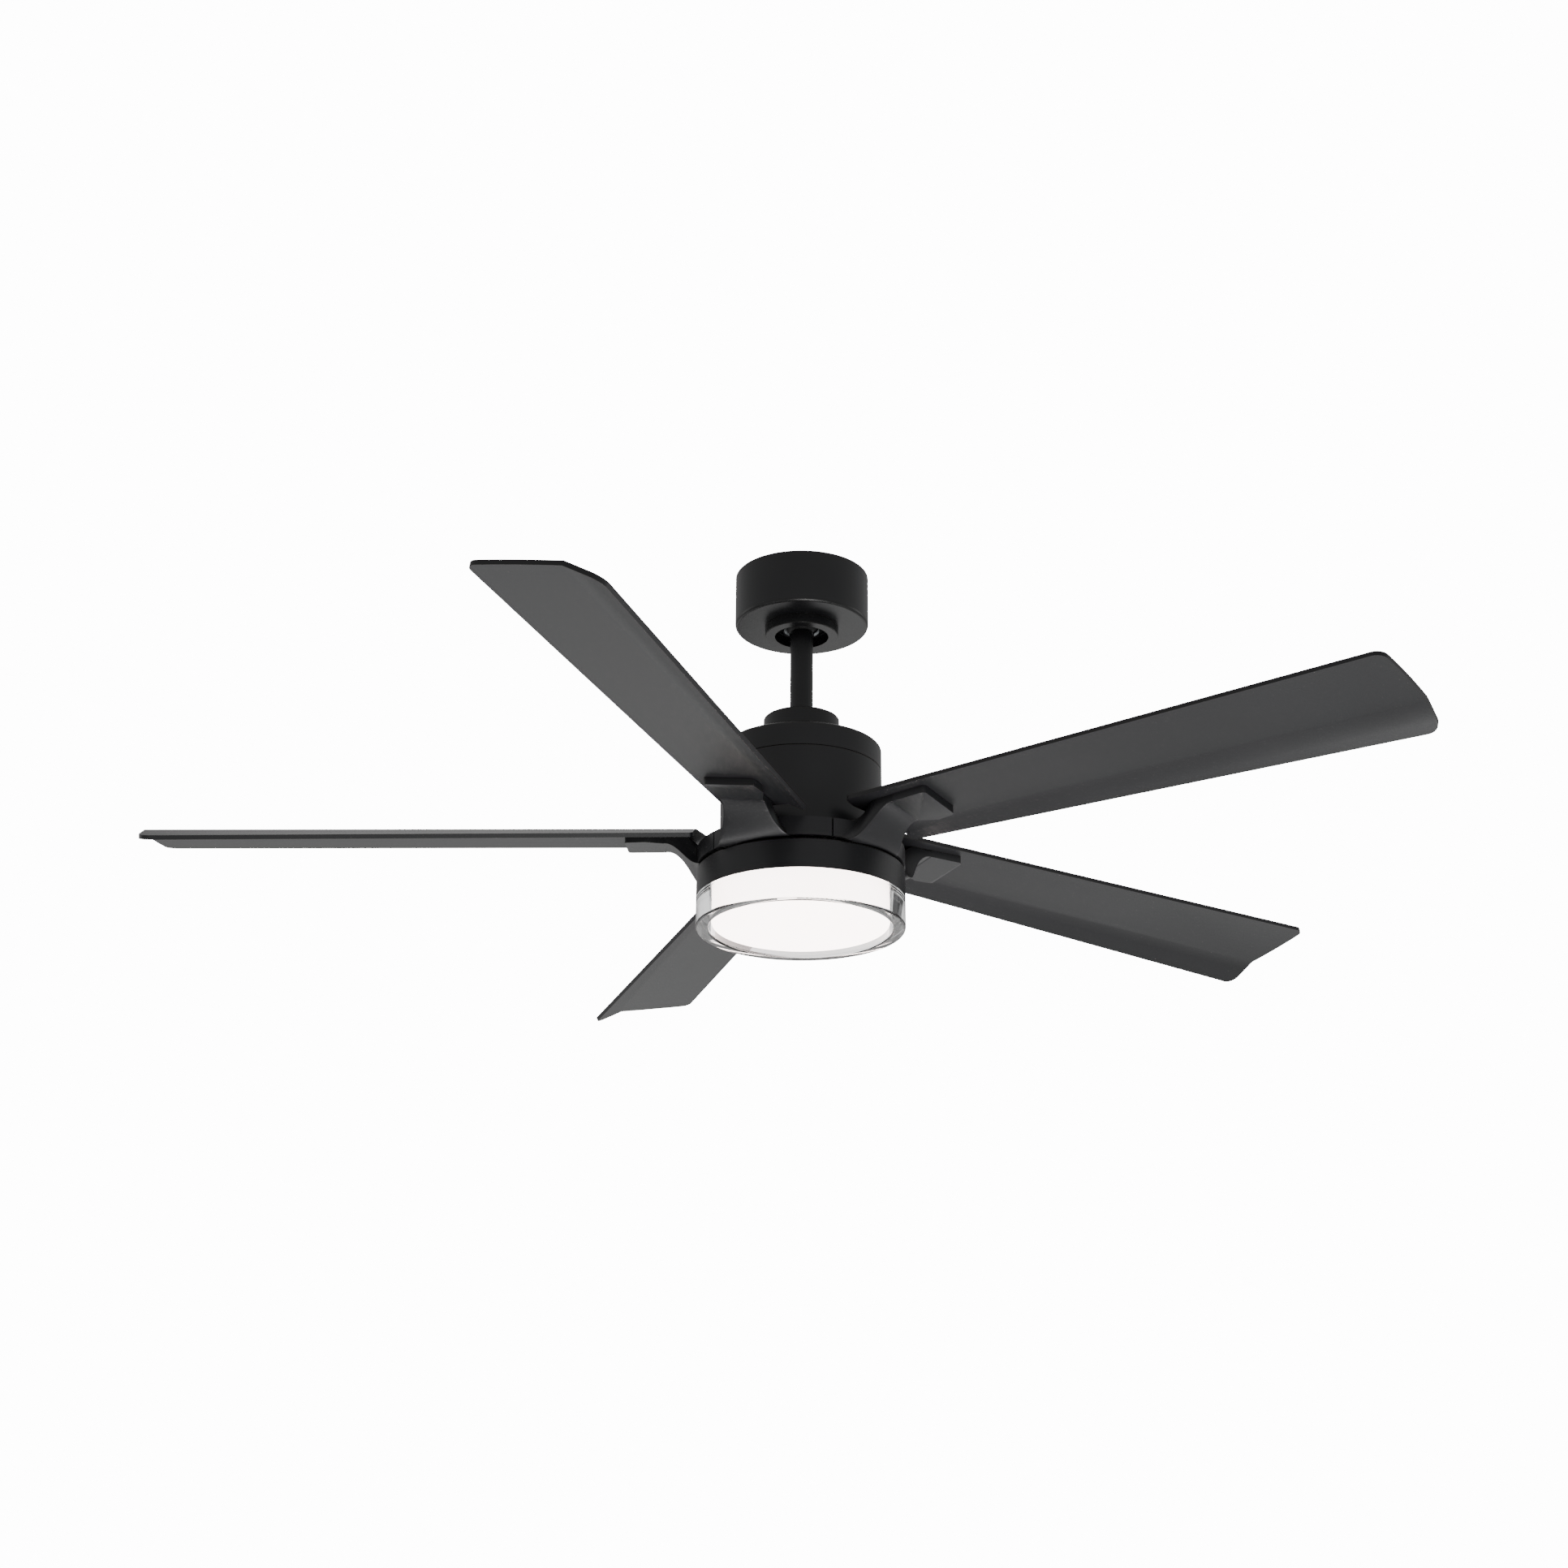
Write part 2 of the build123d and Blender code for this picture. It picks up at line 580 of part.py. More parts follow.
def lamination(with_shoes):
    """One flat stator shape: a hub and its teeth, with or without the shoes at their ends."""
    root = CORE_HUB_RADIUS - 2
    tip = CORE_RADIUS - TOOTH_SHOE_DEPTH + 1
    with BuildSketch(mode=Mode.PRIVATE) as shape:
        Circle(CORE_HUB_RADIUS)
        with PolarLocations((root + tip) / 2, TOOTH_COUNT):
            Rectangle(tip - root, TOOTH_WIDTH)
        if with_shoes:
            Circle(CORE_RADIUS)
            Circle(CORE_RADIUS - TOOTH_SHOE_DEPTH, mode=Mode.SUBTRACT)
            Circle(CORE_HUB_RADIUS)
            with PolarLocations((root + tip) / 2, TOOTH_COUNT):
                Rectangle(tip - root, TOOTH_WIDTH)
            with PolarLocations(CORE_RADIUS - TOOTH_SHOE_DEPTH / 2, TOOTH_COUNT, start_angle=15):
                Rectangle(TOOTH_SHOE_DEPTH + 2, 3.0, mode=Mode.SUBTRACT)
        Circle(SHAFT_RADIUS + FIT, mode=Mode.SUBTRACT)
    return shape.sketch


def stator_core():
    """Stack of steel laminations on the shaft."""
    with BuildPart() as core:
        with BuildSketch(Plane.XY.offset(CORE_TOP_Z - CORE_STACK)):
            add(lamination(with_shoes=True))
        extrude(amount=CORE_STACK)
    return core


def slot_insulators():
    """Plastic end plates above and below the laminations."""
    with BuildPart() as plates:
        for low in (CORE_TOP_Z, CORE_TOP_Z - CORE_STACK - INSULATOR_SHEET):
            with BuildSketch(Plane.XY.offset(low)):
                add(lamination(with_shoes=False))
            extrude(amount=INSULATOR_SHEET)
    return plates


def stator_windings():
    """Copper coil round every tooth."""
    inner_x = CORE_HUB_RADIUS + 2.5
    outer_x = CORE_RADIUS - TOOTH_SHOE_DEPTH - 1
    hole_height = CORE_STACK + 2 * INSULATOR_SHEET + 0.4
    middle = CORE_TOP_Z - CORE_STACK / 2
    with BuildPart(mode=Mode.PRIVATE) as coil:
        with BuildSketch(Plane.YZ.offset(inner_x)):
            RectangleRounded(COIL_WIDTH, hole_height + 6, 2.8)
            Rectangle(TOOTH_WIDTH + 0.4, hole_height, mode=Mode.SUBTRACT)
        extrude(amount=outer_x - inner_x)
    with BuildPart() as coils:
        with Locations((0, 0, middle)):
            with PolarLocations(0, TOOTH_COUNT):
                add(coil.part)
    return coils


def motor_driver_board():
    """Round circuit board above the rotor."""
    with BuildPart() as board:
        with BuildSketch(Plane.XY.offset(BOARD_BOTTOM_Z)):
            Circle(BOARD_RADIUS)
            Circle(BOARD_HOLE_RADIUS, mode=Mode.SUBTRACT)
            with PolarLocations(STANDOFF_CIRCLE, 3, start_angle=30):
                Circle(1.6, mode=Mode.SUBTRACT)
        extrude(amount=BOARD_THICKNESS)
    return board


def driver_components():
    """Capacitors, an inductor and power chips under the driver board."""
    with BuildPart() as parts:
        with BuildSketch(Plane.XY.offset(BOARD_BOTTOM_Z)):
            with PolarLocations(46, 3, start_angle=80, angular_range=70):
                Circle(6)
        extrude(amount=-17)
        with BuildSketch(Plane.XY.offset(BOARD_BOTTOM_Z)):
            with PolarLocations(44, 3, start_angle=200, angular_range=90):
                Rectangle(15, 11)
        extrude(amount=-4.5)
        with BuildSketch(Plane.XY.offset(BOARD_BOTTOM_Z)):
            with Locations((48, -12)):
                Circle(9)
                Circle(4, mode=Mode.SUBTRACT)
        extrude(amount=-9)
    return parts


def board_standoffs():
    """Three posts between the coupling flange and the driver board."""
    flange_bottom = HOUSING_TOP_Z - HOUSING_SHEET - COUPLING_FLANGE_THICKNESS
    with BuildPart() as posts:
        with BuildSketch(Plane.XY.offset(BOARD_TOP_Z)):
            with PolarLocations(STANDOFF_CIRCLE, 3, start_angle=30):
                RegularPolygon(3.2, 6)
        extrude(amount=flange_bottom - BOARD_TOP_Z)
    return posts


def rotor_top_cover():
    """Upper end plate of the rotor with its bearing seat."""
    seat = BEARING_OUTER_RADIUS + FIT
    plate_bottom = ROTOR_TOP_Z - ROTOR_TOP_PLATE
    boss_bottom = UPPER_BEARING_TOP_Z - BEARING_WIDTH
    with BuildPart() as cover:
        with BuildSketch(Plane.XZ):
            with BuildLine():
                Polyline(
                    (BEARING_LIP_RADIUS, ROTOR_TOP_Z),
                    (ROTOR_RADIUS, ROTOR_TOP_Z),
                    (ROTOR_RADIUS, plate_bottom),
                    (seat + 4, plate_bottom),
                    (seat + 4, boss_bottom),
                    (seat, boss_bottom),
                    (seat, UPPER_BEARING_TOP_Z),
                    (BEARING_LIP_RADIUS, UPPER_BEARING_TOP_Z),
                    close=True,
                )
            make_face()
        revolve(axis=Axis.Z)
        with BuildSketch(Plane.XY.offset(plate_bottom)):
            with PolarLocations(ROTOR_SCREW_CIRCLE, ROTOR_SCREW_COUNT):
                Circle(ROTOR_SCREW_RADIUS + SCREW_CLEARANCE)
        extrude(amount=ROTOR_TOP_PLATE, mode=Mode.SUBTRACT)
    return cover


def rotor_can():
    """Steel ring that carries the magnets, with holes down its wall for the long screws."""
    bottom = ROTOR_BOTTOM_Z + ROTOR_BOTTOM_PLATE
    with BuildPart() as can:
        with BuildSketch(Plane.XY.offset(bottom)):
            Circle(ROTOR_RADIUS)
            Circle(ROTOR_RADIUS - ROTOR_WALL, mode=Mode.SUBTRACT)
            with PolarLocations(ROTOR_SCREW_CIRCLE, ROTOR_SCREW_COUNT):
                Circle(ROTOR_SCREW_RADIUS + SCREW_CLEARANCE, mode=Mode.SUBTRACT)
        extrude(amount=ROTOR_TOP_Z - ROTOR_TOP_PLATE - bottom)
    return can


def rotor_screws():
    """Long screws down through the top cover and the can into the bottom cover."""
    length = ROTOR_TOP_Z - ROTOR_BOTTOM_Z - 1.2
    with BuildPart() as screws:
        with Locations((0, 0, ROTOR_TOP_Z)):
            with PolarLocations(ROTOR_SCREW_CIRCLE, ROTOR_SCREW_COUNT):
                add(pan_screw(ROTOR_SCREW_RADIUS, length, 2.8, 2.0).moved(UPSIDE_DOWN))
    return screws


def rotor_bottom_cover():
    """Lower end plate of the rotor, where the blade irons are screwed on."""
    seat = BEARING_OUTER_RADIUS + FIT
    plate_top = ROTOR_BOTTOM_Z + ROTOR_BOTTOM_PLATE
    bearing_bottom = LOWER_BEARING_TOP_Z - BEARING_WIDTH
    with BuildPart() as cover:
        with BuildSketch(Plane.XZ):
            with BuildLine():
                Polyline(
                    (BEARING_LIP_RADIUS, ROTOR_BOTTOM_Z),
                    (ROTOR_RADIUS, ROTOR_BOTTOM_Z),
                    (ROTOR_RADIUS, plate_top),
                    (seat + 4, plate_top),
                    (seat + 4, LOWER_BEARING_TOP_Z),
                    (seat, LOWER_BEARING_TOP_Z),
                    (seat, bearing_bottom),
                    (BEARING_LIP_RADIUS, bearing_bottom),
                    close=True,
                )
            make_face()
        revolve(axis=Axis.Z)
        with BuildSketch(Plane.XY.offset(ROTOR_BOTTOM_Z)):
            iron_screw_holes(LARGE_SCREW_RADIUS + FIT)
        extrude(amount=ROTOR_BOTTOM_PLATE, mode=Mode.SUBTRACT)
        with BuildSketch(Plane.XY.offset(ROTOR_BOTTOM_Z + 1.0)):
            with PolarLocations(ROTOR_SCREW_CIRCLE, ROTOR_SCREW_COUNT):
                Circle(ROTOR_SCREW_RADIUS + FIT)
        extrude(amount=ROTOR_BOTTOM_PLATE, mode=Mode.SUBTRACT)
    return cover


def iron_screw_holes(radius):
    """Circles for the two screws of every blade iron, inside a sketch."""
    for side in (-1, 1):
        start = FIRST_BLADE_ANGLE + side * IRON_SCREW_HALF_ANGLE
        with PolarLocations(IRON_SCREW_CIRCLE, BLADE_COUNT, start_angle=start):
            Circle(radius)


def rotor_magnets():
    """Curved magnets glued inside the rotor can."""
    outer = ROTOR_RADIUS - ROTOR_WALL - FIT
    with BuildPart() as magnets:
        with BuildSketch(Plane.XY.offset(MAGNET_TOP_Z - MAGNET_HEIGHT)):
            Circle(outer)
            Circle(outer - MAGNET_THICKNESS, mode=Mode.SUBTRACT)
            with PolarLocations(outer, MAGNET_COUNT):
                Rectangle(3 * MAGNET_THICKNESS, 2.0, mode=Mode.SUBTRACT)
        extrude(amount=MAGNET_HEIGHT)
    return magnets


def bearing_rings(inner, outer):
    """One race of each bearing: a ring with the ball groove cut into its running side."""
    with BuildPart() as races:
        for middle in BEARING_MIDDLES_Z:
            with BuildSketch(Plane.XY.offset(middle)):
                Circle(outer)
                Circle(inner, mode=Mode.SUBTRACT)
            extrude(amount=BEARING_WIDTH / 2, both=True)
            with BuildSketch(Plane.XZ):
                with Locations((BEARING_PITCH_RADIUS, middle)):
                    Circle(BEARING_GROOVE_RADIUS)
            revolve(axis=Axis.Z, mode=Mode.SUBTRACT)
    return races


def bearing_balls():
    """The balls of both bearings."""
    with BuildPart() as balls:
        for middle in BEARING_MIDDLES_Z:
            with Locations((0, 0, middle)):
                with PolarLocations(BEARING_PITCH_RADIUS, BEARING_BALL_COUNT):
                    Sphere(BEARING_BALL_RADIUS)
    return balls


def bearing_cages():
    """The rings that keep the balls apart."""
    with BuildPart() as cages:
        for middle in BEARING_MIDDLES_Z:
            with BuildSketch(Plane.XY.offset(middle)):
                Circle(BEARING_PITCH_RADIUS + 1.0)
                Circle(BEARING_PITCH_RADIUS - 1.0, mode=Mode.SUBTRACT)
            extrude(amount=4.2, both=True)
            with Locations((0, 0, middle)):
                with PolarLocations(BEARING_PITCH_RADIUS, BEARING_BALL_COUNT):
                    Cylinder(BEARING_GROOVE_RADIUS, 4, rotation=(0, 90, 0), mode=Mode.SUBTRACT)
    return cages


def sheet_section(x, lead, crease, trail):
    """Cross-section of the folded blade at one distance from the axis."""
    half = BLADE_THICKNESS / 2
    panel_up = upright(lead, crease)
    flap_up = upright(crease, trail)
    bend = (panel_up + flap_up).normalized()
    bend = bend * (half / bend.dot(panel_up))
    with BuildSketch(Plane.YZ.offset(x)) as section:
        with BuildLine():
            Polyline(
                shifted(lead, panel_up * half),
                shifted(crease, bend),
                shifted(trail, flap_up * half),
                shifted(trail, flap_up * -half),
                shifted(crease, bend * -1),
                shifted(lead, panel_up * -half),
                close=True,
            )
        make_face()
    return section.sketch


def upright(start, end):
    """Unit vector at right angles to a chord line, pointing up."""
    return Vector(start[1] - end[1], end[0] - start[0]).normalized()


def shifted(point, vector):
    """A 2-D point moved by a vector."""
    return (point[0] + vector.X, point[1] + vector.Y)


def blade():
    """Blade with a flap folded down along its trailing edge, in the blade's own frame."""
    with BuildPart() as sheet:
        root = sheet_section(SECTION_ROOT_X, LEAD_EDGE_ROOT, CREASE_ROOT, TRAIL_EDGE_ROOT)
        tip = sheet_section(SECTION_TIP_X, LEAD_EDGE_TIP, CREASE_TIP, TRAIL_EDGE_TIP)
        loft(sections=(root, tip), ruled=True)
        with BuildSketch(Plane.XY.offset(TRAIL_EDGE_TIP[1] - 20)):
            with BuildLine():
                tip_lead = (math.sqrt(BLADE_TIP_RADIUS**2 - 80**2), -80)
                tip_trail = (math.sqrt(BLADE_TIP_RADIUS**2 - 90**2), 90)
                ThreePointArc(tip_lead, (BLADE_TIP_RADIUS, 0), tip_trail)
                Polyline(tip_trail, (117, 90), (115, 36), (96, -36), (99.5, -80), tip_lead)
            make_face()
        extrude(amount=80, mode=Mode.INTERSECT)
        corners = sheet.edges().filter_by(lambda edge: edge.length < 1.5 * BLADE_THICKNESS)
        tip_corners = corners.group_by(Axis.X)[-2:]
        tip_corners = (tip_corners[0] + tip_corners[1]).sort_by(Axis.Y)
        root_corners = corners.filter_by_position(Axis.X, 0, PLATE_START_X).sort_by(Axis.Y)
        fillet((root_corners[0], root_corners[-1]), BLADE_ROOT_CORNER)
        fillet(tip_corners[0], BLADE_LEAD_CORNER)
        fillet(tip_corners[-1], BLADE_TRAIL_CORNER)
        for place in BLADE_SCREW_PLACES:
            with BuildSketch(panel_plane(*place)):
                Circle(LARGE_SCREW_RADIUS + SCREW_CLEARANCE)
            extrude(amount=BLADE_THICKNESS, both=True, mode=Mode.SUBTRACT)
    return sheet


def panel_slope():
    """How the blade's main panel falls along the chord above the iron's plate."""
    along = (PLATE_MIDDLE_X - SECTION_ROOT_X) / (SECTION_TIP_X - SECTION_ROOT_X)
    lead = [a + along * (b - a) for a, b in zip(LEAD_EDGE_ROOT, LEAD_EDGE_TIP)]
    crease = [a + along * (b - a) for a, b in zip(CREASE_ROOT, CREASE_TIP)]
    slope = (crease[1] - lead[1]) / (crease[0] - lead[0])
    return slope, lead[1] - slope * lead[0]


def panel_plane(x, y):
    """Plane on the middle surface of the blade's main panel."""
    slope, middle = panel_slope()
    return Plane(origin=(x, y, middle + slope * y), x_dir=(1, 0, 0), z_dir=(0, -slope, 1))


def plate_top(y):
    """Height of the iron plate's upper face, just under the blade."""
    slope, middle = panel_slope()
    return middle + slope * y - (BLADE_THICKNESS / 2 + 0.15) * math.hypot(1, slope)


def arm_section(x, low_lead, low_trail, high_trail, high_lead):
    """Four-cornered cross-section of the arm at one distance from the axis."""
    with BuildSketch(Plane.YZ.offset(x)) as section:
        with BuildLine():
            Polyline(low_lead, low_trail, high_trail, high_lead, close=True)
        make_face()
    return section.sketch


def plate_section(x, lead_y, trail_y):
    """The same for the plate, which lies against the blade."""
    low_lead = (lead_y, plate_top(lead_y) - PLATE_THICKNESS)
    low_trail = (trail_y, plate_top(trail_y) - PLATE_THICKNESS)
    return arm_section(
        x, low_lead, low_trail, (trail_y, plate_top(trail_y)), (lead_y, plate_top(lead_y))
    )


def blade_space(x):
    """Section of the space above the iron that the blade needs."""
    low_lead = (-90, plate_top(-90) - 0.1)
    low_trail = (90, plate_top(90) - 0.1)
    return arm_section(x, low_lead, low_trail, (90, HUB_TOP_Z + 60), (-90, HUB_TOP_Z + 60))


def iron_plate():
    """Flat plate of a blade iron, with rounded outer corners."""
    with BuildPart() as plate:
        extrude(plate_section(PLATE_START_X - 1, -80, 80), amount=PLATE_END_X - PLATE_START_X + 1)
        with BuildSketch(Plane.XY.offset(HUB_BOTTOM_Z)):
            with BuildLine() as outline:
                Polyline(
                    (PLATE_START_X - 1, PLATE_LEAD_Y),
                    (PLATE_END_X, -42),
                    (PLATE_END_X, 14),
                    (169, 17),
                    (PLATE_START_X - 1, PLATE_TRAIL_Y),
                    close=True,
                )
                fillet(outline.vertices().group_by(Axis.X)[-1], PLATE_CORNER)
            make_face()
        extrude(amount=60, mode=Mode.INTERSECT)
        for place in BLADE_SCREW_PLACES:
            with BuildSketch(panel_plane(*place).offset(-BLADE_THICKNESS / 2)):
                Circle(LARGE_SCREW_RADIUS + FIT)
            extrude(amount=-6.5, mode=Mode.SUBTRACT)
    return plate.part


def blade_iron():
    """Cast iron of one blade: its fifth of the hub ring, a swept arm and the plate under the blade."""
    segment = 360 / BLADE_COUNT - math.degrees(HUB_SEAM / HUB_RADIUS)
    arm = (
        arm_section(97, (-58, HUB_BOTTOM_Z), (27, HUB_BOTTOM_Z), (10, -327), (-40, -323)),
        arm_section(113, (-52, HUB_BOTTOM_Z), (22, HUB_BOTTOM_Z), (9, -321), (-36, -314)),
        arm_section(125, (-43.5, -331), (13, -336.5), (9.5, plate_top(9.5)), (-38, plate_top(-38))),
        arm_section(137, (-39.5, -317.5), (9, -324.5), (8.5, plate_top(8.5)), (-38.5, plate_top(-38.5))),
        plate_section(PLATE_START_X, PLATE_LEAD_Y, PLATE_TRAIL_Y),
    )
    with BuildPart() as iron:
        loft(sections=arm)
        extrude(blade_space(90), amount=PLATE_START_X - 90, mode=Mode.SUBTRACT)
        with BuildSketch(turned_plane(-segment / 2)):
            with BuildLine():
                Polyline(
                    (HUB_TOP_INNER_RADIUS, HUB_TOP_Z),
                    (HUB_RADIUS, HUB_TOP_Z),
                    (HUB_RADIUS, HUB_BOTTOM_Z),
                    (HUB_RADIUS - HUB_WALL, HUB_BOTTOM_Z),
                    (HUB_RADIUS - HUB_WALL, HUB_WEB_Z),
                    (HUB_WEB_INNER_RADIUS, HUB_WEB_Z),
                    (HUB_WEB_INNER_RADIUS, ROTOR_BOTTOM_Z),
                    (HUB_RADIUS - HUB_WALL, ROTOR_BOTTOM_Z),
                    (HUB_RADIUS - HUB_WALL, HUB_TOP_Z - 3),
                    (HUB_TOP_INNER_RADIUS, HUB_TOP_Z - 3),
                    close=True,
                )
            make_face()
        revolve(axis=Axis.Z, revolution_arc=segment)
        add(iron_plate())
        with BuildSketch(Plane.XY.offset(HUB_WEB_Z)):
            for side in (-1, 1):
                with PolarLocations(IRON_SCREW_CIRCLE, 1, start_angle=side * IRON_SCREW_HALF_ANGLE):
                    Circle(LARGE_SCREW_RADIUS + SCREW_CLEARANCE)
        extrude(amount=ROTOR_BOTTOM_Z - HUB_WEB_Z, mode=Mode.SUBTRACT)
    return iron


def blade_screws():
    """Screws down through every blade into its iron, each with a washer."""
    with BuildPart() as screws:
        for index in range(BLADE_COUNT):
            turn = Location((0, 0, 0), (0, 0, FIRST_BLADE_ANGLE + index * 360 / BLADE_COUNT))
            for place in BLADE_SCREW_PLACES:
                seat = panel_plane(*place).offset(BLADE_THICKNESS / 2 + 0.05)
                over = turn * seat.location
                with BuildSketch(Plane(over)):
                    Circle(6)
                    Circle(LARGE_SCREW_RADIUS + FIT, mode=Mode.SUBTRACT)
                extrude(amount=1)
                with Locations(Plane(over).offset(1.02).location * Location((0, 0, 0), (180, 0, 0))):
                    add(pan_screw(LARGE_SCREW_RADIUS, 12.0, 4.6, 3.0))
    return screws


def light_mounting_plate():
    """Plate on the shaft's lower end that the light housing is screwed to."""
    with BuildPart() as plate:
        with BuildSketch(Plane.XY.offset(LIGHT_TOP_Z)):
            Circle(MOUNT_PLATE_RADIUS)
        extrude(amount=MOUNT_PLATE_TOP_Z - LIGHT_TOP_Z)
        with BuildSketch(Plane.XY.offset(MOUNT_PLATE_TOP_Z)):
            Circle(13)
        extrude(amount=6)
        with BuildSketch(Plane.XY.offset(LIGHT_TOP_Z)):
            Circle(SHAFT_RADIUS + FIT)
            with PolarLocations(LIGHT_SCREW_CIRCLE, 3, start_angle=30):
                Circle(SMALL_SCREW_RADIUS + FIT)
        extrude(amount=10, mode=Mode.SUBTRACT)
    return plate


def light_housing():
    """Spun pan of the light, with a notched lower flange for the shade's lugs."""
    with BuildPart() as pan:
        with BuildSketch(Plane.XY.offset(LIGHT_BOTTOM_Z)):
            Circle(LIGHT_RADIUS)
        extrude(amount=LIGHT_TOP_Z - LIGHT_BOTTOM_Z)
        fillet(pan.edges().sort_by(Axis.Z)[-1], 2.0)
        offset(amount=-LIGHT_SHEET, openings=pan.faces().sort_by(Axis.Z)[0])
        with BuildSketch(Plane.XY.offset(LIGHT_BOTTOM_Z)):
            Circle(LIGHT_RADIUS - LIGHT_SHEET / 2)
            Circle(LIGHT_FLANGE_INNER_RADIUS, mode=Mode.SUBTRACT)
        extrude(amount=LIGHT_SHEET)
        for index in range(3):
            start = index * 120 + SHADE_TWIST - LUG_ARC / 2 - 1
            with BuildSketch(turned_plane(start)):
                with Locations(((LIGHT_FLANGE_INNER_RADIUS + LIGHT_RADIUS) / 2 - 1.5, LIGHT_BOTTOM_Z)):
                    Rectangle(LIGHT_RADIUS - LIGHT_FLANGE_INNER_RADIUS - 0.6, 2.5 * LIGHT_SHEET)
            revolve(axis=Axis.Z, revolution_arc=LUG_ARC + 2, mode=Mode.SUBTRACT)
        with BuildSketch(Plane.XY.offset(LIGHT_TOP_Z)):
            Circle(SHAFT_RADIUS + SCREW_CLEARANCE)
            with PolarLocations(LIGHT_SCREW_CIRCLE, 3, start_angle=30):
                Circle(SMALL_SCREW_RADIUS + SCREW_CLEARANCE)
            with PolarLocations(POST_CIRCLE, 3, start_angle=-90):
                Circle(SMALL_SCREW_RADIUS + SCREW_CLEARANCE)
        extrude(amount=-LIGHT_SHEET, mode=Mode.SUBTRACT)
    return pan


def shaft_nut():
    """Hexagon nut under the light housing's roof."""
    with BuildPart() as nut:
        with BuildSketch(Plane.XY.offset(LIGHT_TOP_Z - LIGHT_SHEET)):
            RegularPolygon(13, 6)
            Circle(SHAFT_RADIUS + FIT, mode=Mode.SUBTRACT)
        extrude(amount=-7)
    return nut


def heat_sink_posts():
    """Three spacers between the light housing's roof and the heat sink."""
    roof = LIGHT_TOP_Z - LIGHT_SHEET
    with BuildPart() as posts:
        with BuildSketch(Plane.XY.offset(HEAT_SINK_TOP_Z)):
            with PolarLocations(POST_CIRCLE, 3, start_angle=-90):
                RegularPolygon(5, 6)
                Circle(SMALL_SCREW_RADIUS + FIT, mode=Mode.SUBTRACT)
        extrude(amount=roof - HEAT_SINK_TOP_Z)
    return posts


def heat_sink():
    """Spun aluminium plate that carries the LED board."""
    with BuildPart() as plate:
        with BuildSketch(Plane.XY.offset(HEAT_SINK_TOP_Z - HEAT_SINK_SHEET)):
            Circle(HEAT_SINK_RADIUS)
        extrude(amount=HEAT_SINK_SHEET)
        with BuildSketch(Plane.XY.offset(HEAT_SINK_TOP_Z)):
            Circle(HEAT_SINK_RADIUS)
            Circle(HEAT_SINK_RADIUS - 2, mode=Mode.SUBTRACT)
        extrude(amount=7)
        with BuildSketch(Plane.XY.offset(HEAT_SINK_TOP_Z - HEAT_SINK_SHEET)):
            with PolarLocations(POST_CIRCLE, 3, start_angle=-90):
                Circle(SMALL_SCREW_RADIUS + SCREW_CLEARANCE)
            with Locations((30, 0)):
                Circle(5)
        extrude(amount=HEAT_SINK_SHEET, mode=Mode.SUBTRACT)
    return plate


def led_board():
    """Round aluminium-core board with holes over the heat-sink screws."""
    top = HEAT_SINK_TOP_Z - HEAT_SINK_SHEET
    with BuildPart() as board:
        with BuildSketch(Plane.XY.offset(top)):
            Circle(LED_BOARD_RADIUS)
            with PolarLocations(POST_CIRCLE, 3, start_angle=-90):
                Circle(5, mode=Mode.SUBTRACT)
        extrude(amount=-LED_BOARD_THICKNESS)
    return board


def led_chips():
    """Rings of surface-mounted LEDs."""
    with BuildPart() as chips:
        with BuildSketch(Plane.XY.offset(HEAT_SINK_TOP_Z - HEAT_SINK_SHEET - LED_BOARD_THICKNESS)):
            for radius, count in ((82, 24), (64, 18), (36, 12)):
                with PolarLocations(radius, count):
                    Rectangle(3.5, 3.5)
        extrude(amount=-0.8)
    return chips


def diffuser():
    """Opal drum over the LEDs, open at the top."""
    with BuildPart() as drum:
        with BuildSketch(Plane.XY.offset(DIFFUSER_BOTTOM_Z)):
            Circle(DIFFUSER_RADIUS)
        extrude(amount=HEAT_SINK_TOP_Z - HEAT_SINK_SHEET - DIFFUSER_BOTTOM_Z)
        fillet(drum.edges().sort_by(Axis.Z)[0], 3.5)
        offset(amount=-DIFFUSER_WALL, openings=drum.faces().sort_by(Axis.Z)[-1])
    return drum


def shade():
    """Thick clear ring with a neck and three bayonet lugs."""
    lug_low = LIGHT_BOTTOM_Z + LIGHT_SHEET + GAP
    neck_inner = HEAT_SINK_RADIUS + 3
    with BuildPart() as ring:
        with BuildSketch(Plane.XY.offset(SHADE_BOTTOM_Z)):
            Circle(LIGHT_RADIUS)
            Circle(SHADE_INNER_RADIUS, mode=Mode.SUBTRACT)
        extrude(amount=SHADE_TOP_Z - SHADE_BOTTOM_Z)
        fillet(ring.edges().group_by(Axis.Z)[0], 2.6)
        with BuildSketch(Plane.XY.offset(SHADE_TOP_Z)):
            Circle(SHADE_NECK_RADIUS)
            Circle(neck_inner, mode=Mode.SUBTRACT)
        extrude(amount=8)
        for index in range(3):
            with BuildSketch(turned_plane(index * 120 - LUG_ARC / 2)):
                with Locations((SHADE_NECK_RADIUS + 1.6, lug_low + 1.5)):
                    Rectangle(3.8, 3.0)
            revolve(axis=Axis.Z, revolution_arc=LUG_ARC)
    return ring


def led_driver():
    """Potted power supply under the light housing's roof."""
    roof = LIGHT_TOP_Z - LIGHT_SHEET
    with BuildPart() as box:
        with BuildSketch(Plane.XY.offset(roof)):
            with Locations((0, 56)):
                RectangleRounded(64, 32, 3)
        extrude(amount=-17)
        fillet(box.faces().sort_by(Axis.Z)[0].edges(), 1.2)
    return box


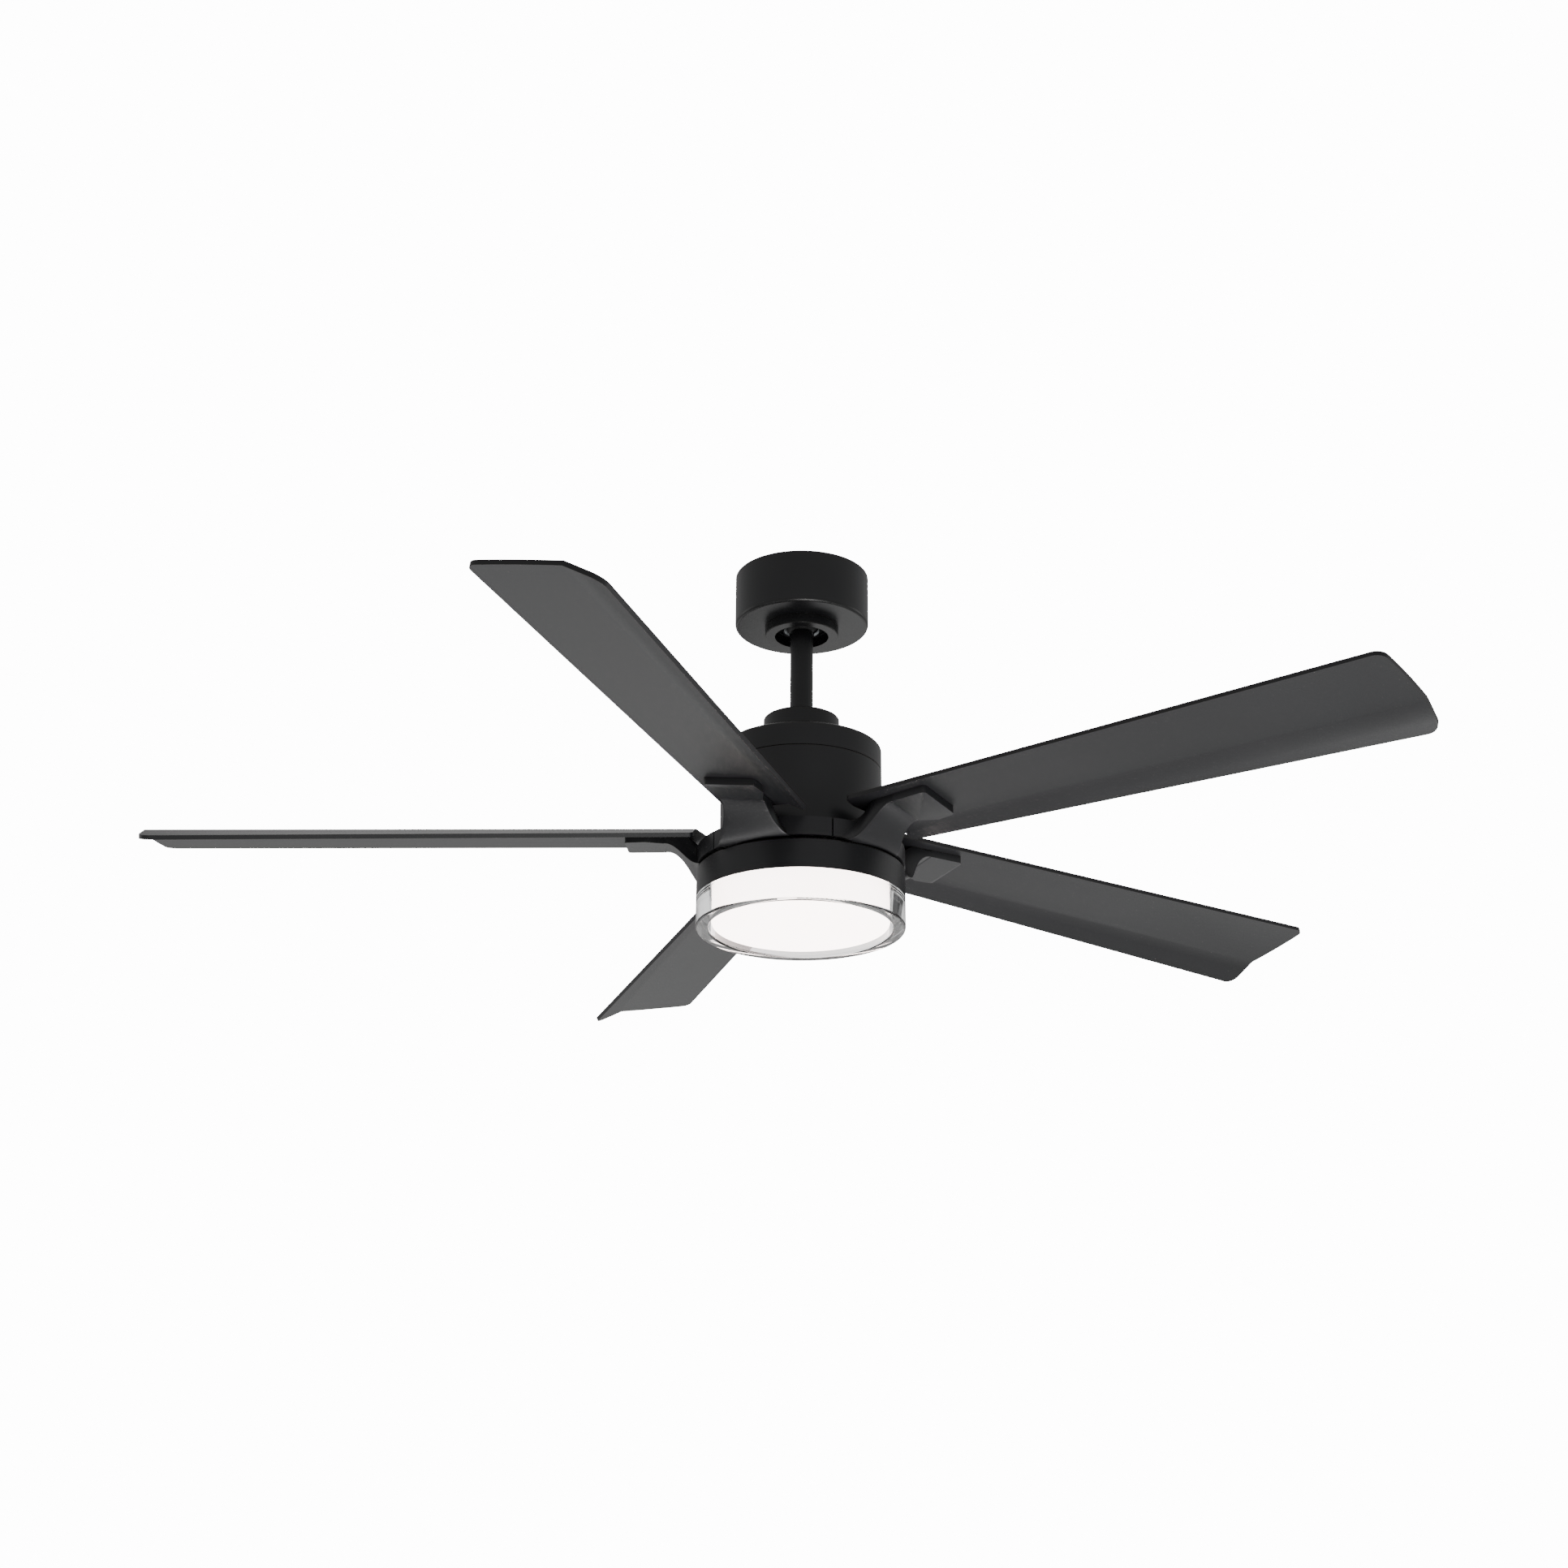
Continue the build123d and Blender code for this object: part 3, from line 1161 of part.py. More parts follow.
def lead_bundle():
    """Sleeved leads from the plug in the canopy, down the rod and shaft, to the LED driver."""
    with BuildPart() as leads:
        with BuildLine() as path:
            FilletPolyline(
                (0, 39.9, LEAD_BOTTOM_Z),
                (0, 0, LEAD_BOTTOM_Z),
                (0, 0, SHAFT_TOP_Z + 0.5),
                (LEAD_ROD_X, 0, CLEVIS_PIN_Z - 4.8),
                (LEAD_ROD_X, 0, LEAD_TOP_Z),
                (-8, PLUG_Y, LEAD_TOP_Z),
                (-8, PLUG_Y, BALL_Z),
                (7, PLUG_Y, BALL_Z),
                radius=[6, 8, 8, 8, 8, 7],
            )
        with BuildSketch(Plane(origin=path.line @ 0, z_dir=path.line % 0)):
            Circle(LEAD_RADIUS)
        sweep(path=path.line)
    return leads


def plug_half(low_x, high_x, name_side):
    """One half of the connector between the fan's leads and the receiver."""
    with BuildPart() as half:
        with BuildSketch(Plane.YZ.offset(low_x)):
            with Locations((PLUG_Y, BALL_Z)):
                RectangleRounded(11, 9, 1)
        extrude(amount=high_x - low_x)
        end = half.faces().sort_by(Axis.X)[name_side]
        chamfer(end.edges(), 0.8)
    return half


def receiver_module():
    """Remote-control receiver under the bracket's top plate."""
    with BuildPart() as box:
        with BuildSketch(Plane.XY.offset(-BRACKET_SHEET - 0.2)):
            RectangleRounded(80, 34, 4)
        extrude(amount=-12)
        fillet(box.faces().sort_by(Axis.Z)[0].edges(), 1.5)
    return box


def receiver_lead():
    """Lead from the receiver to its half of the connector."""
    with BuildPart() as lead:
        with BuildLine() as path:
            FilletPolyline(
                (40.1, 0, -9),
                (48.5, 0, -9),
                (48.5, PLUG_Y, -9),
                (48.5, PLUG_Y, BALL_Z),
                (32.1, PLUG_Y, BALL_Z),
                radius=6,
            )
        with BuildSketch(Plane(origin=path.line @ 0, z_dir=path.line % 0)):
            Circle(2.6)
        sweep(path=path.line)
    return lead


def ground_screw():
    """Green screw for the earth lead, in the bracket's left wall."""
    with BuildPart() as screw:
        with Locations(Plane(origin=GROUND_SCREW_PLACE, z_dir=(1, 0, 0))):
            add(pan_screw(SMALL_SCREW_RADIUS, 7.0, 4.2, 2.4))
    return screw


def canopy_screws():
    """Screws up through the canopy's floor into the bracket."""
    with BuildPart() as screws:
        with Locations((0, 0, CANOPY_BOTTOM_Z)):
            with PolarLocations(CANOPY_SCREW_CIRCLE, 2):
                add(pan_screw(SMALL_SCREW_RADIUS, 9.0, 3.7, 2.4))
    return screws


def housing_screws():
    """Screws down through the housing cap: four into the coupling, four long ones into the sleeve."""
    with BuildPart() as screws:
        with Locations((0, 0, HOUSING_TOP_Z)):
            with PolarLocations(COUPLING_SCREW_CIRCLE, 4, start_angle=45):
                add(pan_screw(LARGE_SCREW_RADIUS, 6.0, 4.6, 3.0).moved(UPSIDE_DOWN))
            with PolarLocations(HOUSING_SCREW_CIRCLE, 4):
                add(pan_screw(SMALL_SCREW_RADIUS, 36.0, 3.7, 2.4).moved(UPSIDE_DOWN))
    return screws


def light_screws():
    """Screws of the light: three through its roof and three long ones through the heat sink."""
    with BuildPart() as screws:
        with Locations((0, 0, LIGHT_TOP_Z - LIGHT_SHEET)):
            with PolarLocations(LIGHT_SCREW_CIRCLE, 3, start_angle=30):
                add(pan_screw(SMALL_SCREW_RADIUS, 5.0, 3.7, 2.4))
        with Locations((0, 0, HEAT_SINK_TOP_Z - HEAT_SINK_SHEET)):
            with PolarLocations(POST_CIRCLE, 3, start_angle=-90):
                add(pan_screw(SMALL_SCREW_RADIUS, 25.0, 3.7, 2.4))
    return screws


def iron_screws():
    """Screws up through every blade iron into the rotor's bottom cover."""
    with BuildPart() as screws:
        for side in (-1, 1):
            start = FIRST_BLADE_ANGLE + side * IRON_SCREW_HALF_ANGLE
            with Locations((0, 0, HUB_WEB_Z)):
                with PolarLocations(IRON_SCREW_CIRCLE, BLADE_COUNT, start_angle=start):
                    add(pan_screw(LARGE_SCREW_RADIUS, 9.0, 4.6, 3.0))
    return screws


save(hanger_bracket(), "hanger_bracket")
save(ground_screw(), "ground_screw")
save(canopy(), "canopy")
save(canopy_trim_ring(), "canopy_trim_ring")
save(canopy_screws(), "canopy_screws")
save(hanger_ball(), "hanger_ball")
save(cross_pin(BALL_PIN_Z, -BALL_PIN_HALF_LENGTH, BALL_PIN_HALF_LENGTH), "ball_cross_pin")
save(downrod(), "downrod")
save(motor_coupling(), "motor_coupling")
save(cross_pin(CLEVIS_PIN_Z, -COUPLING_RADIUS - 6, COUPLING_RADIUS + 1, 4.5), "clevis_pin")
save(hairpin_cotter(), "hairpin_cotter")
save(set_screws(), "set_screws")
save(coupling_cover(), "coupling_cover")
save(motor_housing_cap(), "motor_housing_cap")
save(motor_housing_sleeve(), "motor_housing_sleeve")
save(housing_screws(), "housing_screws")
save(motor_shaft(), "motor_shaft")
save(stator_core(), "stator_core")
save(slot_insulators(), "slot_insulators")
save(stator_windings(), "stator_windings")
save(motor_driver_board(), "motor_driver_board")
save(driver_components(), "driver_components")
save(board_standoffs(), "board_standoffs")
save(rotor_top_cover(), "rotor_top_cover")
save(rotor_can(), "rotor_can")
save(rotor_screws(), "rotor_screws")
save(rotor_bottom_cover(), "rotor_bottom_cover")
save(rotor_magnets(), "rotor_magnets")
save(bearing_rings(SHAFT_RADIUS + 0.03, 10.3), "bearing_inner_rings")
save(bearing_rings(14.7, BEARING_OUTER_RADIUS), "bearing_outer_rings")
save(bearing_balls(), "bearing_balls")
save(bearing_cages(), "bearing_cages")
one_blade = blade().part
one_iron = blade_iron().part
for index in range(BLADE_COUNT):
    angle = FIRST_BLADE_ANGLE + index * 360 / BLADE_COUNT
    for piece, name in ((one_blade, "blade"), (one_iron, "blade_iron")):
        with BuildPart() as placed:
            with Locations(Location((0, 0, 0), (0, 0, angle))):
                add(piece)
        save(placed, f"{name}_{index + 1}")
save(blade_screws(), "blade_screws")
save(iron_screws(), "iron_screws")
save(light_mounting_plate(), "light_mounting_plate")
save(shaft_nut(), "shaft_nut")
save(light_housing(), "light_housing")
save(led_driver(), "led_driver")
save(heat_sink_posts(), "heat_sink_posts")
save(heat_sink(), "heat_sink")
save(light_screws(), "light_screws")
save(led_board(), "led_board")
save(led_chips(), "led_chips")
save(diffuser(), "diffuser")
save(shade(), "shade")
save(lead_bundle(), "lead_bundle")
save(plug_half(7, 20, -1), "fan_plug")
save(plug_half(21.5, 32, 0), "receiver_socket")
save(receiver_module(), "receiver_module")
save(receiver_lead(), "receiver_lead")
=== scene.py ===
"""Looks for a matte black ceiling fan: powder-coated shells, moulded blades, clear glass and a lit opal drum."""

import json
import math

import bmesh
import bpy
from mathutils import Matrix, Vector

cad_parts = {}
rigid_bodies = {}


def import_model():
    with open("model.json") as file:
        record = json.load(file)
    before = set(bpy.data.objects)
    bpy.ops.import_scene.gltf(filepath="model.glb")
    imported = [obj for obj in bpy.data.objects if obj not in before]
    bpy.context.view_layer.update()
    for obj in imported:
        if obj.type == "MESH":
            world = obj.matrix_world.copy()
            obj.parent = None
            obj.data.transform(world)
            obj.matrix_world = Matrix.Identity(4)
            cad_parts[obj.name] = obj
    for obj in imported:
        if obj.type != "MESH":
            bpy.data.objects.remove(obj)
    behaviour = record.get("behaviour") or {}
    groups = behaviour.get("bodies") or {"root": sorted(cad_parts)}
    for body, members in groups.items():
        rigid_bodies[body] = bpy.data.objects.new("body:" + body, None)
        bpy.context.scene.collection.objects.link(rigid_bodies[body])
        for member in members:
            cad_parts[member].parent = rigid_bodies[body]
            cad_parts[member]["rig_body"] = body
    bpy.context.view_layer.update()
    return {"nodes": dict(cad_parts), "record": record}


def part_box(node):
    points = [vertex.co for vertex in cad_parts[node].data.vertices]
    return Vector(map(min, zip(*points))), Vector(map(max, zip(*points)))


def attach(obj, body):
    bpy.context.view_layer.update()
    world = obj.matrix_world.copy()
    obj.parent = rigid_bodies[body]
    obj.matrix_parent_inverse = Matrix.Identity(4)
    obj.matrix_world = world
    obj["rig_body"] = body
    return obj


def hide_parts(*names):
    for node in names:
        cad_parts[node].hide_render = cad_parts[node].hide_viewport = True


MM = 0.001

# Points closer than this, in metres, are one point.
WELD = 1e-5
TURNED_WELD = 1e-6
# Triangles that meet flatter than this, in degrees, are one face.
FLAT_ANGLE = 0.5
# Edges sharper than this, in degrees, are rounded, in this many steps.
EDGE_ANGLE = 28
EDGE_STEPS = 3
# Shading stops at edges sharper than these, in degrees.
SOFTENED_SHARP_ANGLE = 60
TURNED_SHARP_ANGLE = 32
TURNED_STEPS = 160
CORNER_STEPS = 6

FLOOR_Z = -2.4
FLOOR_HALF = 30.0

# Strength of the white surroundings: as seen, as seen through glass, and as a light.
SEEN_WHITE = 14.0
WHITE_THROUGH_GLASS = 1.4
WHITE_AS_LIGHT = 0.42

# Name, place, aim, size, power in watts. The low ones light the undersides, the sides light the limbs.
LIGHTS = (
    ("light_from_below", (0.2, -0.4, -2.3), (0, 0, -0.3), (2.0, 2.0), 100),
    ("light_from_behind", (0.0, 3.2, -2.0), (0, 0, -0.3), (5.0, 2.6), 24),
    ("light_from_left", (-3.2, 0.9, -0.3), (0, 0, -0.2), (1.6, 1.6), 7),
    ("light_from_right", (3.2, 0.9, -0.3), (0, 0, -0.2), (1.6, 1.6), 9),
    ("light_from_above", (0.0, 1.4, 2.6), (0, 0, -0.3), (3.0, 3.0), 25),
)

SENSOR_MM = 36.0
LENS_MM = 57.84
CAMERA_PLACE = (-0.010, -2.5797, -1.2446)
# Degrees.
CAMERA_PITCH = 21.118
CAMERA_YAW = -0.196
CAMERA_ROLL = 0.36

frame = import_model()
nodes = frame["nodes"]


# ---------------------------------------------------------------- materials


def linear(code):
    """An sRGB hex colour as linear RGBA."""
    channels = [int(code[i : i + 2], 16) / 255 for i in (1, 3, 5)]
    return (*[c / 12.92 if c <= 0.04045 else ((c + 0.055) / 1.055) ** 2.4 for c in channels], 1.0)


def add_node(tree, kind, settings=None, inputs=None):
    """Adds a node. Settings are its properties, and inputs are values or sockets to link from."""
    made = tree.nodes.new(kind)
    for key, value in (settings or {}).items():
        setattr(made, key, value)
    for key, value in (inputs or {}).items():
        if isinstance(value, bpy.types.NodeSocket):
            tree.links.new(value, made.inputs[key])
        else:
            made.inputs[key].default_value = value
    return made


def new_material(name, **values):
    """A Principled material with its plain values set on the shader, and its node tree."""
    material = bpy.data.materials.new(name)
    material.use_nodes = True
    tree = material.node_tree
    shader = tree.nodes["Principled BSDF"]
    for key, value in values.items():
        shader.inputs[key.replace("_", " ")].default_value = value
    return material, tree, shader


def ramp(tree, source, low, high, low_colour, high_colour):
    """A colour ramp between two stops."""
    made = add_node(tree, "ShaderNodeValToRGB", inputs={"Fac": source})
    first, second = made.color_ramp.elements
    first.position, second.position = low, high
    first.color, second.color = low_colour, high_colour
    return made.outputs["Color"]


def spread(tree, source, low, high):
    """A 0 to 1 value stretched to a new range."""
    made = add_node(
        tree, "ShaderNodeMapRange", inputs={"Value": source, "To Min": low, "To Max": high}
    )
    return made.outputs["Result"]


def noise(tree, size_mm, detail=2.0, stretch=(1, 1, 1)):
    """Noise on object coordinates whose lumps are about one size across."""
    place = add_node(tree, "ShaderNodeTexCoord")
    moved = add_node(
        tree, "ShaderNodeMapping", inputs={"Vector": place.outputs["Object"], "Scale": stretch}
    )
    made = add_node(
        tree,
        "ShaderNodeTexNoise",
        inputs={"Vector": moved.outputs["Vector"], "Scale": 1 / (size_mm * MM), "Detail": detail},
    )
    return made.outputs["Fac"]


def bump(tree, shader, height, depth_mm):
    """Surface relief of a real depth."""
    made = add_node(
        tree,
        "ShaderNodeBump",
        inputs={"Strength": 1.0, "Distance": depth_mm * MM, "Height": height},
    )
    tree.links.new(made.outputs["Normal"], shader.inputs["Normal"])


def powder_coat():
    """Black polyester powder coat, sprayed and baked: even, low gloss, with a fine orange peel."""
    material, tree, shader = new_material("black_powder_coat", IOR=1.5)
    cloud = noise(tree, size_mm=60, detail=3)
    colour = ramp(tree, cloud, 0.3, 0.7, linear("#161618"), linear("#1b1b1d"))
    tree.links.new(colour, shader.inputs["Base Color"])
    tree.links.new(spread(tree, noise(tree, size_mm=40), 0.33, 0.37), shader.inputs["Roughness"])
    # Orange peel is about 1 mm across and a few hundredths deep.
    bump(tree, shader, noise(tree, size_mm=1.1, detail=1), depth_mm=0.02)
    return material


def moulded_blade():
    """Black ABS blade, moulded in a lightly etched tool: satin, with faint flow along its length."""
    # ABS itself is near 1.54. It is set lower here to dull the undersides.
    material, tree, shader = new_material("moulded_black_ABS", IOR=1.44)
    flow = noise(tree, size_mm=140, detail=2)
    colour = ramp(tree, flow, 0.3, 0.7, linear("#161618"), linear("#1a1a1c"))
    tree.links.new(colour, shader.inputs["Base Color"])
    tree.links.new(spread(tree, flow, 0.37, 0.41), shader.inputs["Roughness"])
    # The etch is drawn at 0.8 mm, coarser than the real one, so that it shows.
    bump(tree, shader, noise(tree, size_mm=0.8, detail=2), depth_mm=0.02)
    return material


def clear_glass():
    """Pressed clear glass, fire-polished: colourless, with very slight waves."""
    material, tree, shader = new_material(
        "clear_pressed_glass",
        Base_Color=linear("#fcfdfd"),
        Roughness=0.01,
        IOR=1.5,
        Transmission_Weight=1.0,
    )
    bump(tree, shader, noise(tree, size_mm=30, detail=1), depth_mm=0.12)
    return material


def opal_acrylic():
    """Injection-moulded opal acrylic, lit evenly from behind: warm white, with a faint uneven tint."""
    material, tree, shader = new_material(
        "opal_acrylic_lit", Roughness=0.35, IOR=1.49, Base_Color=linear("#f4efec")
    )
    glow = ramp(tree, noise(tree, size_mm=80), 0.3, 0.7, linear("#fff1ec"), linear("#ffebe5"))
    tree.links.new(glow, shader.inputs["Emission Color"])
    shader.inputs["Emission Strength"].default_value = 8.0
    return material


def metal(name, low, high, rough, grain_mm, stretch=(1, 1, 1), depth_mm=0.01, metallic=1.0):
    """A bare or plated metal with a two-tone colour and a fine grain."""
    material, tree, shader = new_material(name, Metallic=metallic)
    grain = noise(tree, grain_mm, detail=3, stretch=stretch)
    tree.links.new(
        ramp(tree, noise(tree, 12, detail=3), 0.3, 0.7, linear(low), linear(high)),
        shader.inputs["Base Color"],
    )
    tree.links.new(spread(tree, grain, rough - 0.07, rough + 0.07), shader.inputs["Roughness"])
    bump(tree, shader, grain, depth_mm)
    return material


def plastic(name, low, high, rough, texture_mm, depth_mm=0.02):
    """A moulded or printed plastic with a fine surface texture."""
    material, tree, shader = new_material(name, IOR=1.5)
    tree.links.new(
        ramp(tree, noise(tree, 15, detail=3), 0.3, 0.7, linear(low), linear(high)),
        shader.inputs["Base Color"],
    )
    texture = noise(tree, texture_mm, detail=2)
    tree.links.new(spread(tree, texture, rough - 0.06, rough + 0.06), shader.inputs["Roughness"])
    bump(tree, shader, texture, depth_mm)
    return material


def braided_sleeve():
    """Woven polyester sleeve over the leads: a fine diagonal braid."""
    material, tree, shader = new_material("braided_polyester_sleeve", Roughness=0.8)
    place = add_node(tree, "ShaderNodeTexCoord")
    braid = add_node(
        tree,
        "ShaderNodeTexWave",
        {"bands_direction": "DIAGONAL"},
        # One braid strand is about 1.2 mm wide.
        {"Vector": place.outputs["Object"], "Scale": 1 / (1.2 * MM) / 6.3, "Distortion": 0.5},
    )
    colour = ramp(tree, braid.outputs["Fac"], 0.2, 0.8, linear("#0d0d0e"), linear("#26262a"))
    tree.links.new(colour, shader.inputs["Base Color"])
    bump(tree, shader, braid.outputs["Fac"], 0.2)
    return material


FINISHES = {
    "black_powder_coat": powder_coat(),
    "black_blade": moulded_blade(),
    "clear_shade": clear_glass(),
    "opal_acrylic": opal_acrylic(),
    "lead_sleeve": braided_sleeve(),
    # Green dye over zinc: an earth screw's satin green.
    "green_screw": metal("green_dyed_zinc", "#1d6b33", "#2a8545", 0.35, 0.6),
    # Bright zinc plate: pale grey with a soft, slightly cloudy shine.
    "zinc_steel": metal("bright_zinc_plate", "#9aa0a3", "#b9bdbf", 0.32, 0.6),
    # Black oxide: near black with a dull metal shine.
    "black_screw": metal("black_oxide_steel", "#1b1b1d", "#2a2a2c", 0.42, 0.5),
    # Ground bearing steel: the shiniest metal here, with a fine grain round it.
    "bare_steel": metal("ground_bearing_steel", "#8d8f92", "#a9abad", 0.22, 0.3, (1, 1, 8)),
    # Stacked electrical steel: dark grey, with thin level layers.
    "laminated_steel": metal(
        "stacked_electrical_steel", "#3d3f42", "#55585b", 0.5, 0.5, (0.02, 0.02, 1)
    ),
    # Die-cast aluminium: dull pale grey with a grainy skin. Spun sheet is brighter and smoother.
    "cast_aluminium": metal("die_cast_aluminium", "#8f9295", "#a8abad", 0.5, 1.2, depth_mm=0.05),
    "spun_aluminium": metal("spun_aluminium_sheet", "#b4b7ba", "#c9cbcd", 0.35, 0.5),
    # Enamelled copper wire, wound: red-brown, with fine turns that catch the light.
    "copper_winding": metal(
        "enamelled_copper_wire", "#8a4a26", "#b5683a", 0.35, 0.6, (0.05, 0.05, 1), 0.1
    ),
    # Sintered ferrite: charcoal and dull, like unglazed ceramic.
    "magnet": metal("sintered_ferrite", "#29292b", "#38383a", 0.7, 0.8, metallic=0.2),
    # Moulded nylon: semi-matt, with a fine moulded grain.
    "black_nylon": plastic("moulded_black_nylon", "#121213", "#1c1c1e", 0.5, 0.7),
    "white_nylon": plastic("moulded_white_nylon", "#d2d1cc", "#e2e1dc", 0.45, 0.7),
    # Board lacquer is the glossiest plastic here, and moulded epoxy is duller.
    "circuit_board": plastic("green_solder_mask", "#0f4a2a", "#186238", 0.3, 0.9),
    "board_parts": plastic("moulded_black_epoxy", "#151517", "#222225", 0.4, 0.5),
    "led_board_white": plastic("white_solder_mask", "#ededea", "#f6f6f4", 0.3, 0.9),
    # Phosphor in silicone: flat deep yellow.
    "led_phosphor": plastic("yellow_phosphor_silicone", "#e6c95a", "#f0d874", 0.5, 0.4),
}
SLOT_OF = {part["node"]: part["material_slot"] for part in frame["record"]["subparts"]}


def finish_cad_nodes():
    """Gives every carried-over node its finish."""
    for name, piece in nodes.items():
        for holder in piece.material_slots:
            holder.material = FINISHES[SLOT_OF[name]]


# ---------------------------------------------------------------- mesh tools


def new_piece(name, mesh, node):
    """A finished piece that stands for a CAD node and takes its body and finish."""
    mesh.materials.clear()
    mesh.materials.append(FINISHES[SLOT_OF[node]])
    piece = bpy.data.objects.new(name, mesh)
    bpy.context.scene.collection.objects.link(piece)
    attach(piece, nodes[node]["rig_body"])
    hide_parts(node)
    return piece


def rounded_outline(corners, steps=CORNER_STEPS):
    """Closed (radius, height) outline in millimetres, with each corner rounded by its third number."""
    points = []
    count = len(corners)
    for index, (r, z, radius) in enumerate(corners):
        here = Vector((r, z))
        if not radius:
            points.append(here)
            continue
        back = (Vector(corners[index - 1][:2]) - here).normalized()
        ahead = (Vector(corners[(index + 1) % count][:2]) - here).normalized()
        half = back.angle(ahead) / 2
        reach = radius / math.tan(half)
        centre = here + (back + ahead).normalized() * (radius / math.sin(half))
        start = here + back * reach - centre
        end = here + ahead * reach - centre
        turn = start.angle(end)
        for step in range(steps + 1):
            share = step / steps
            weight_a = math.sin((1 - share) * turn) / math.sin(turn)
            weight_b = math.sin(share * turn) / math.sin(turn)
            points.append(centre + start * weight_a + end * weight_b)
    return points


def turned_mesh(name, outline):
    """A mesh turned about the Z axis from a closed outline."""
    shape = bmesh.new()
    rows = []
    for index in range(TURNED_STEPS):
        angle = 2 * math.pi * index / TURNED_STEPS
        ring = [
            shape.verts.new((p.x * math.cos(angle) * MM, p.x * math.sin(angle) * MM, p.y * MM))
            for p in outline
        ]
        rows.append(ring)
    for index, ring in enumerate(rows):
        other = rows[(index + 1) % TURNED_STEPS]
        for k in range(len(ring)):
            n = (k + 1) % len(ring)
            shape.faces.new((ring[k], other[k], other[n], ring[n]))
    bmesh.ops.remove_doubles(shape, verts=shape.verts, dist=TURNED_WELD)
    bmesh.ops.recalc_face_normals(shape, faces=shape.faces)
    mesh = bpy.data.meshes.new(name)
    shape.to_mesh(mesh)
    shape.free()
    return mesh


def smooth(mesh, angle):
    """Smooth shading that stops at edges sharper than an angle in degrees."""
    mesh.shade_smooth()
    mesh.set_sharp_from_angle(angle=math.radians(angle))
    return mesh


def softened_copy(name, node, width_mm, flat_faces):
    """A merged copy of a CAD node with its sharp edges rounded as far as short edges allow."""
    mesh = nodes[node].data.copy()
    shape = bmesh.new()
    shape.from_mesh(mesh)
    bmesh.ops.remove_doubles(shape, verts=shape.verts, dist=WELD)
    bmesh.ops.dissolve_limit(
        shape, angle_limit=math.radians(FLAT_ANGLE), verts=shape.verts, edges=shape.edges
    )
    shape.to_mesh(mesh)
    shape.free()
    worker = bpy.data.objects.new(name + "_work", smooth(mesh, SOFTENED_SHARP_ANGLE))
    bpy.context.scene.collection.objects.link(worker)
    edge = worker.modifiers.new("edges", "BEVEL")
    edge.width = width_mm * MM
    edge.segments = EDGE_STEPS
    edge.limit_method = "ANGLE"
    edge.angle_limit = math.radians(EDGE_ANGLE)
    edge.use_clamp_overlap = True
    if flat_faces:
        even = worker.modifiers.new("even_shading", "WEIGHTED_NORMAL")
        even.keep_sharp = True
        even.weight = 100
    graph = bpy.context.evaluated_depsgraph_get()
    done = bpy.data.meshes.new_from_object(worker.evaluated_get(graph), depsgraph=graph)
    bpy.data.objects.remove(worker)
    return new_piece(name, done, node)


def box_mm(node):
    """A CAD node's lowest and highest corner in millimetres."""
    low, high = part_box(node)
    return low / MM, high / MM


finish_cad_nodes()


# ---------------------------------------------------------------- turned shells


def coupling_cover_outline():
    """Drawn cup, closed on top round the rod. Corners are radius, height and rounding in millimetres."""
    low, high = box_mm("coupling_cover")
    radius, sheet, bore = high.x, 1.2, 13.2
    return [
        (radius, low.z, 0.3),
        (radius, high.z, 1.6),
        (bore, high.z, 0.3),
        (bore, high.z - sheet, 0.3),
        (radius - sheet, high.z - sheet, 0.8),
        (radius - sheet, low.z, 0.3),
    ]


def diffuser_outline():
    """Opal drum, open at the top. Corners are radius, height and rounding in millimetres."""
    low, high = box_mm("diffuser")
    radius, wall, edge = high.x, 2.0, 3.5
    return [
        (0, low.z, 0),
        (radius, low.z, edge),
        (radius, high.z, 0.3),
        (radius - wall, high.z, 0.3),
        (radius - wall, low.z + wall, edge - wall),
        (0, low.z + wall, 0),
    ]


# These have no holes that show, so they are turned afresh with finer edges.
for node, outline in (
    ("coupling_cover", coupling_cover_outline()),
    ("diffuser", diffuser_outline()),
):
    shape = turned_mesh(node + "_turned", rounded_outline(outline))
    new_piece(node + "_turned", smooth(shape, TURNED_SHARP_ANGLE), node)

# Node, the most its edges may be rounded in millimetres. The clamp stops at the shortest edge, so only the
# canopy gets its full width. The others stay nearly sharp, at a tenth of a millimetre or less.
SOFTENED = {
    "canopy": 0.25,
    "canopy_trim_ring": 0.25,
    "downrod": 0.25,
    "hanger_ball": 0.4,
    "motor_housing_cap": 0.3,
    "motor_housing_sleeve": 0.3,
    "light_housing": 0.4,
    "shade": 0.5,
    **{f"blade_{index}": 0.6 for index in range(1, 6)},
    **{f"blade_iron_{index}": 0.8 for index in range(1, 6)},
}
for node, width in SOFTENED.items():
    # The cast irons flow in curves, so their shading isn't flattened.
    softened_copy(node + "_finished", node, width, flat_faces=not node.startswith("blade_iron"))


# ---------------------------------------------------------------- stage, light and camera


def soft_light(name, place, aim, size, power):
    """A large soft light that faces a point and isn't seen itself."""
    lamp = bpy.data.lights.new(name, "AREA")
    lamp.shape = "RECTANGLE"
    lamp.size, lamp.size_y = size
    lamp.energy = power
    holder = bpy.data.objects.new(name, lamp)
    holder.location = place
    holder.visible_camera = False
    holder.rotation_euler = (Vector(aim) - Vector(place)).to_track_quat("-Z", "Y").to_euler()
    bpy.context.scene.collection.objects.link(holder)


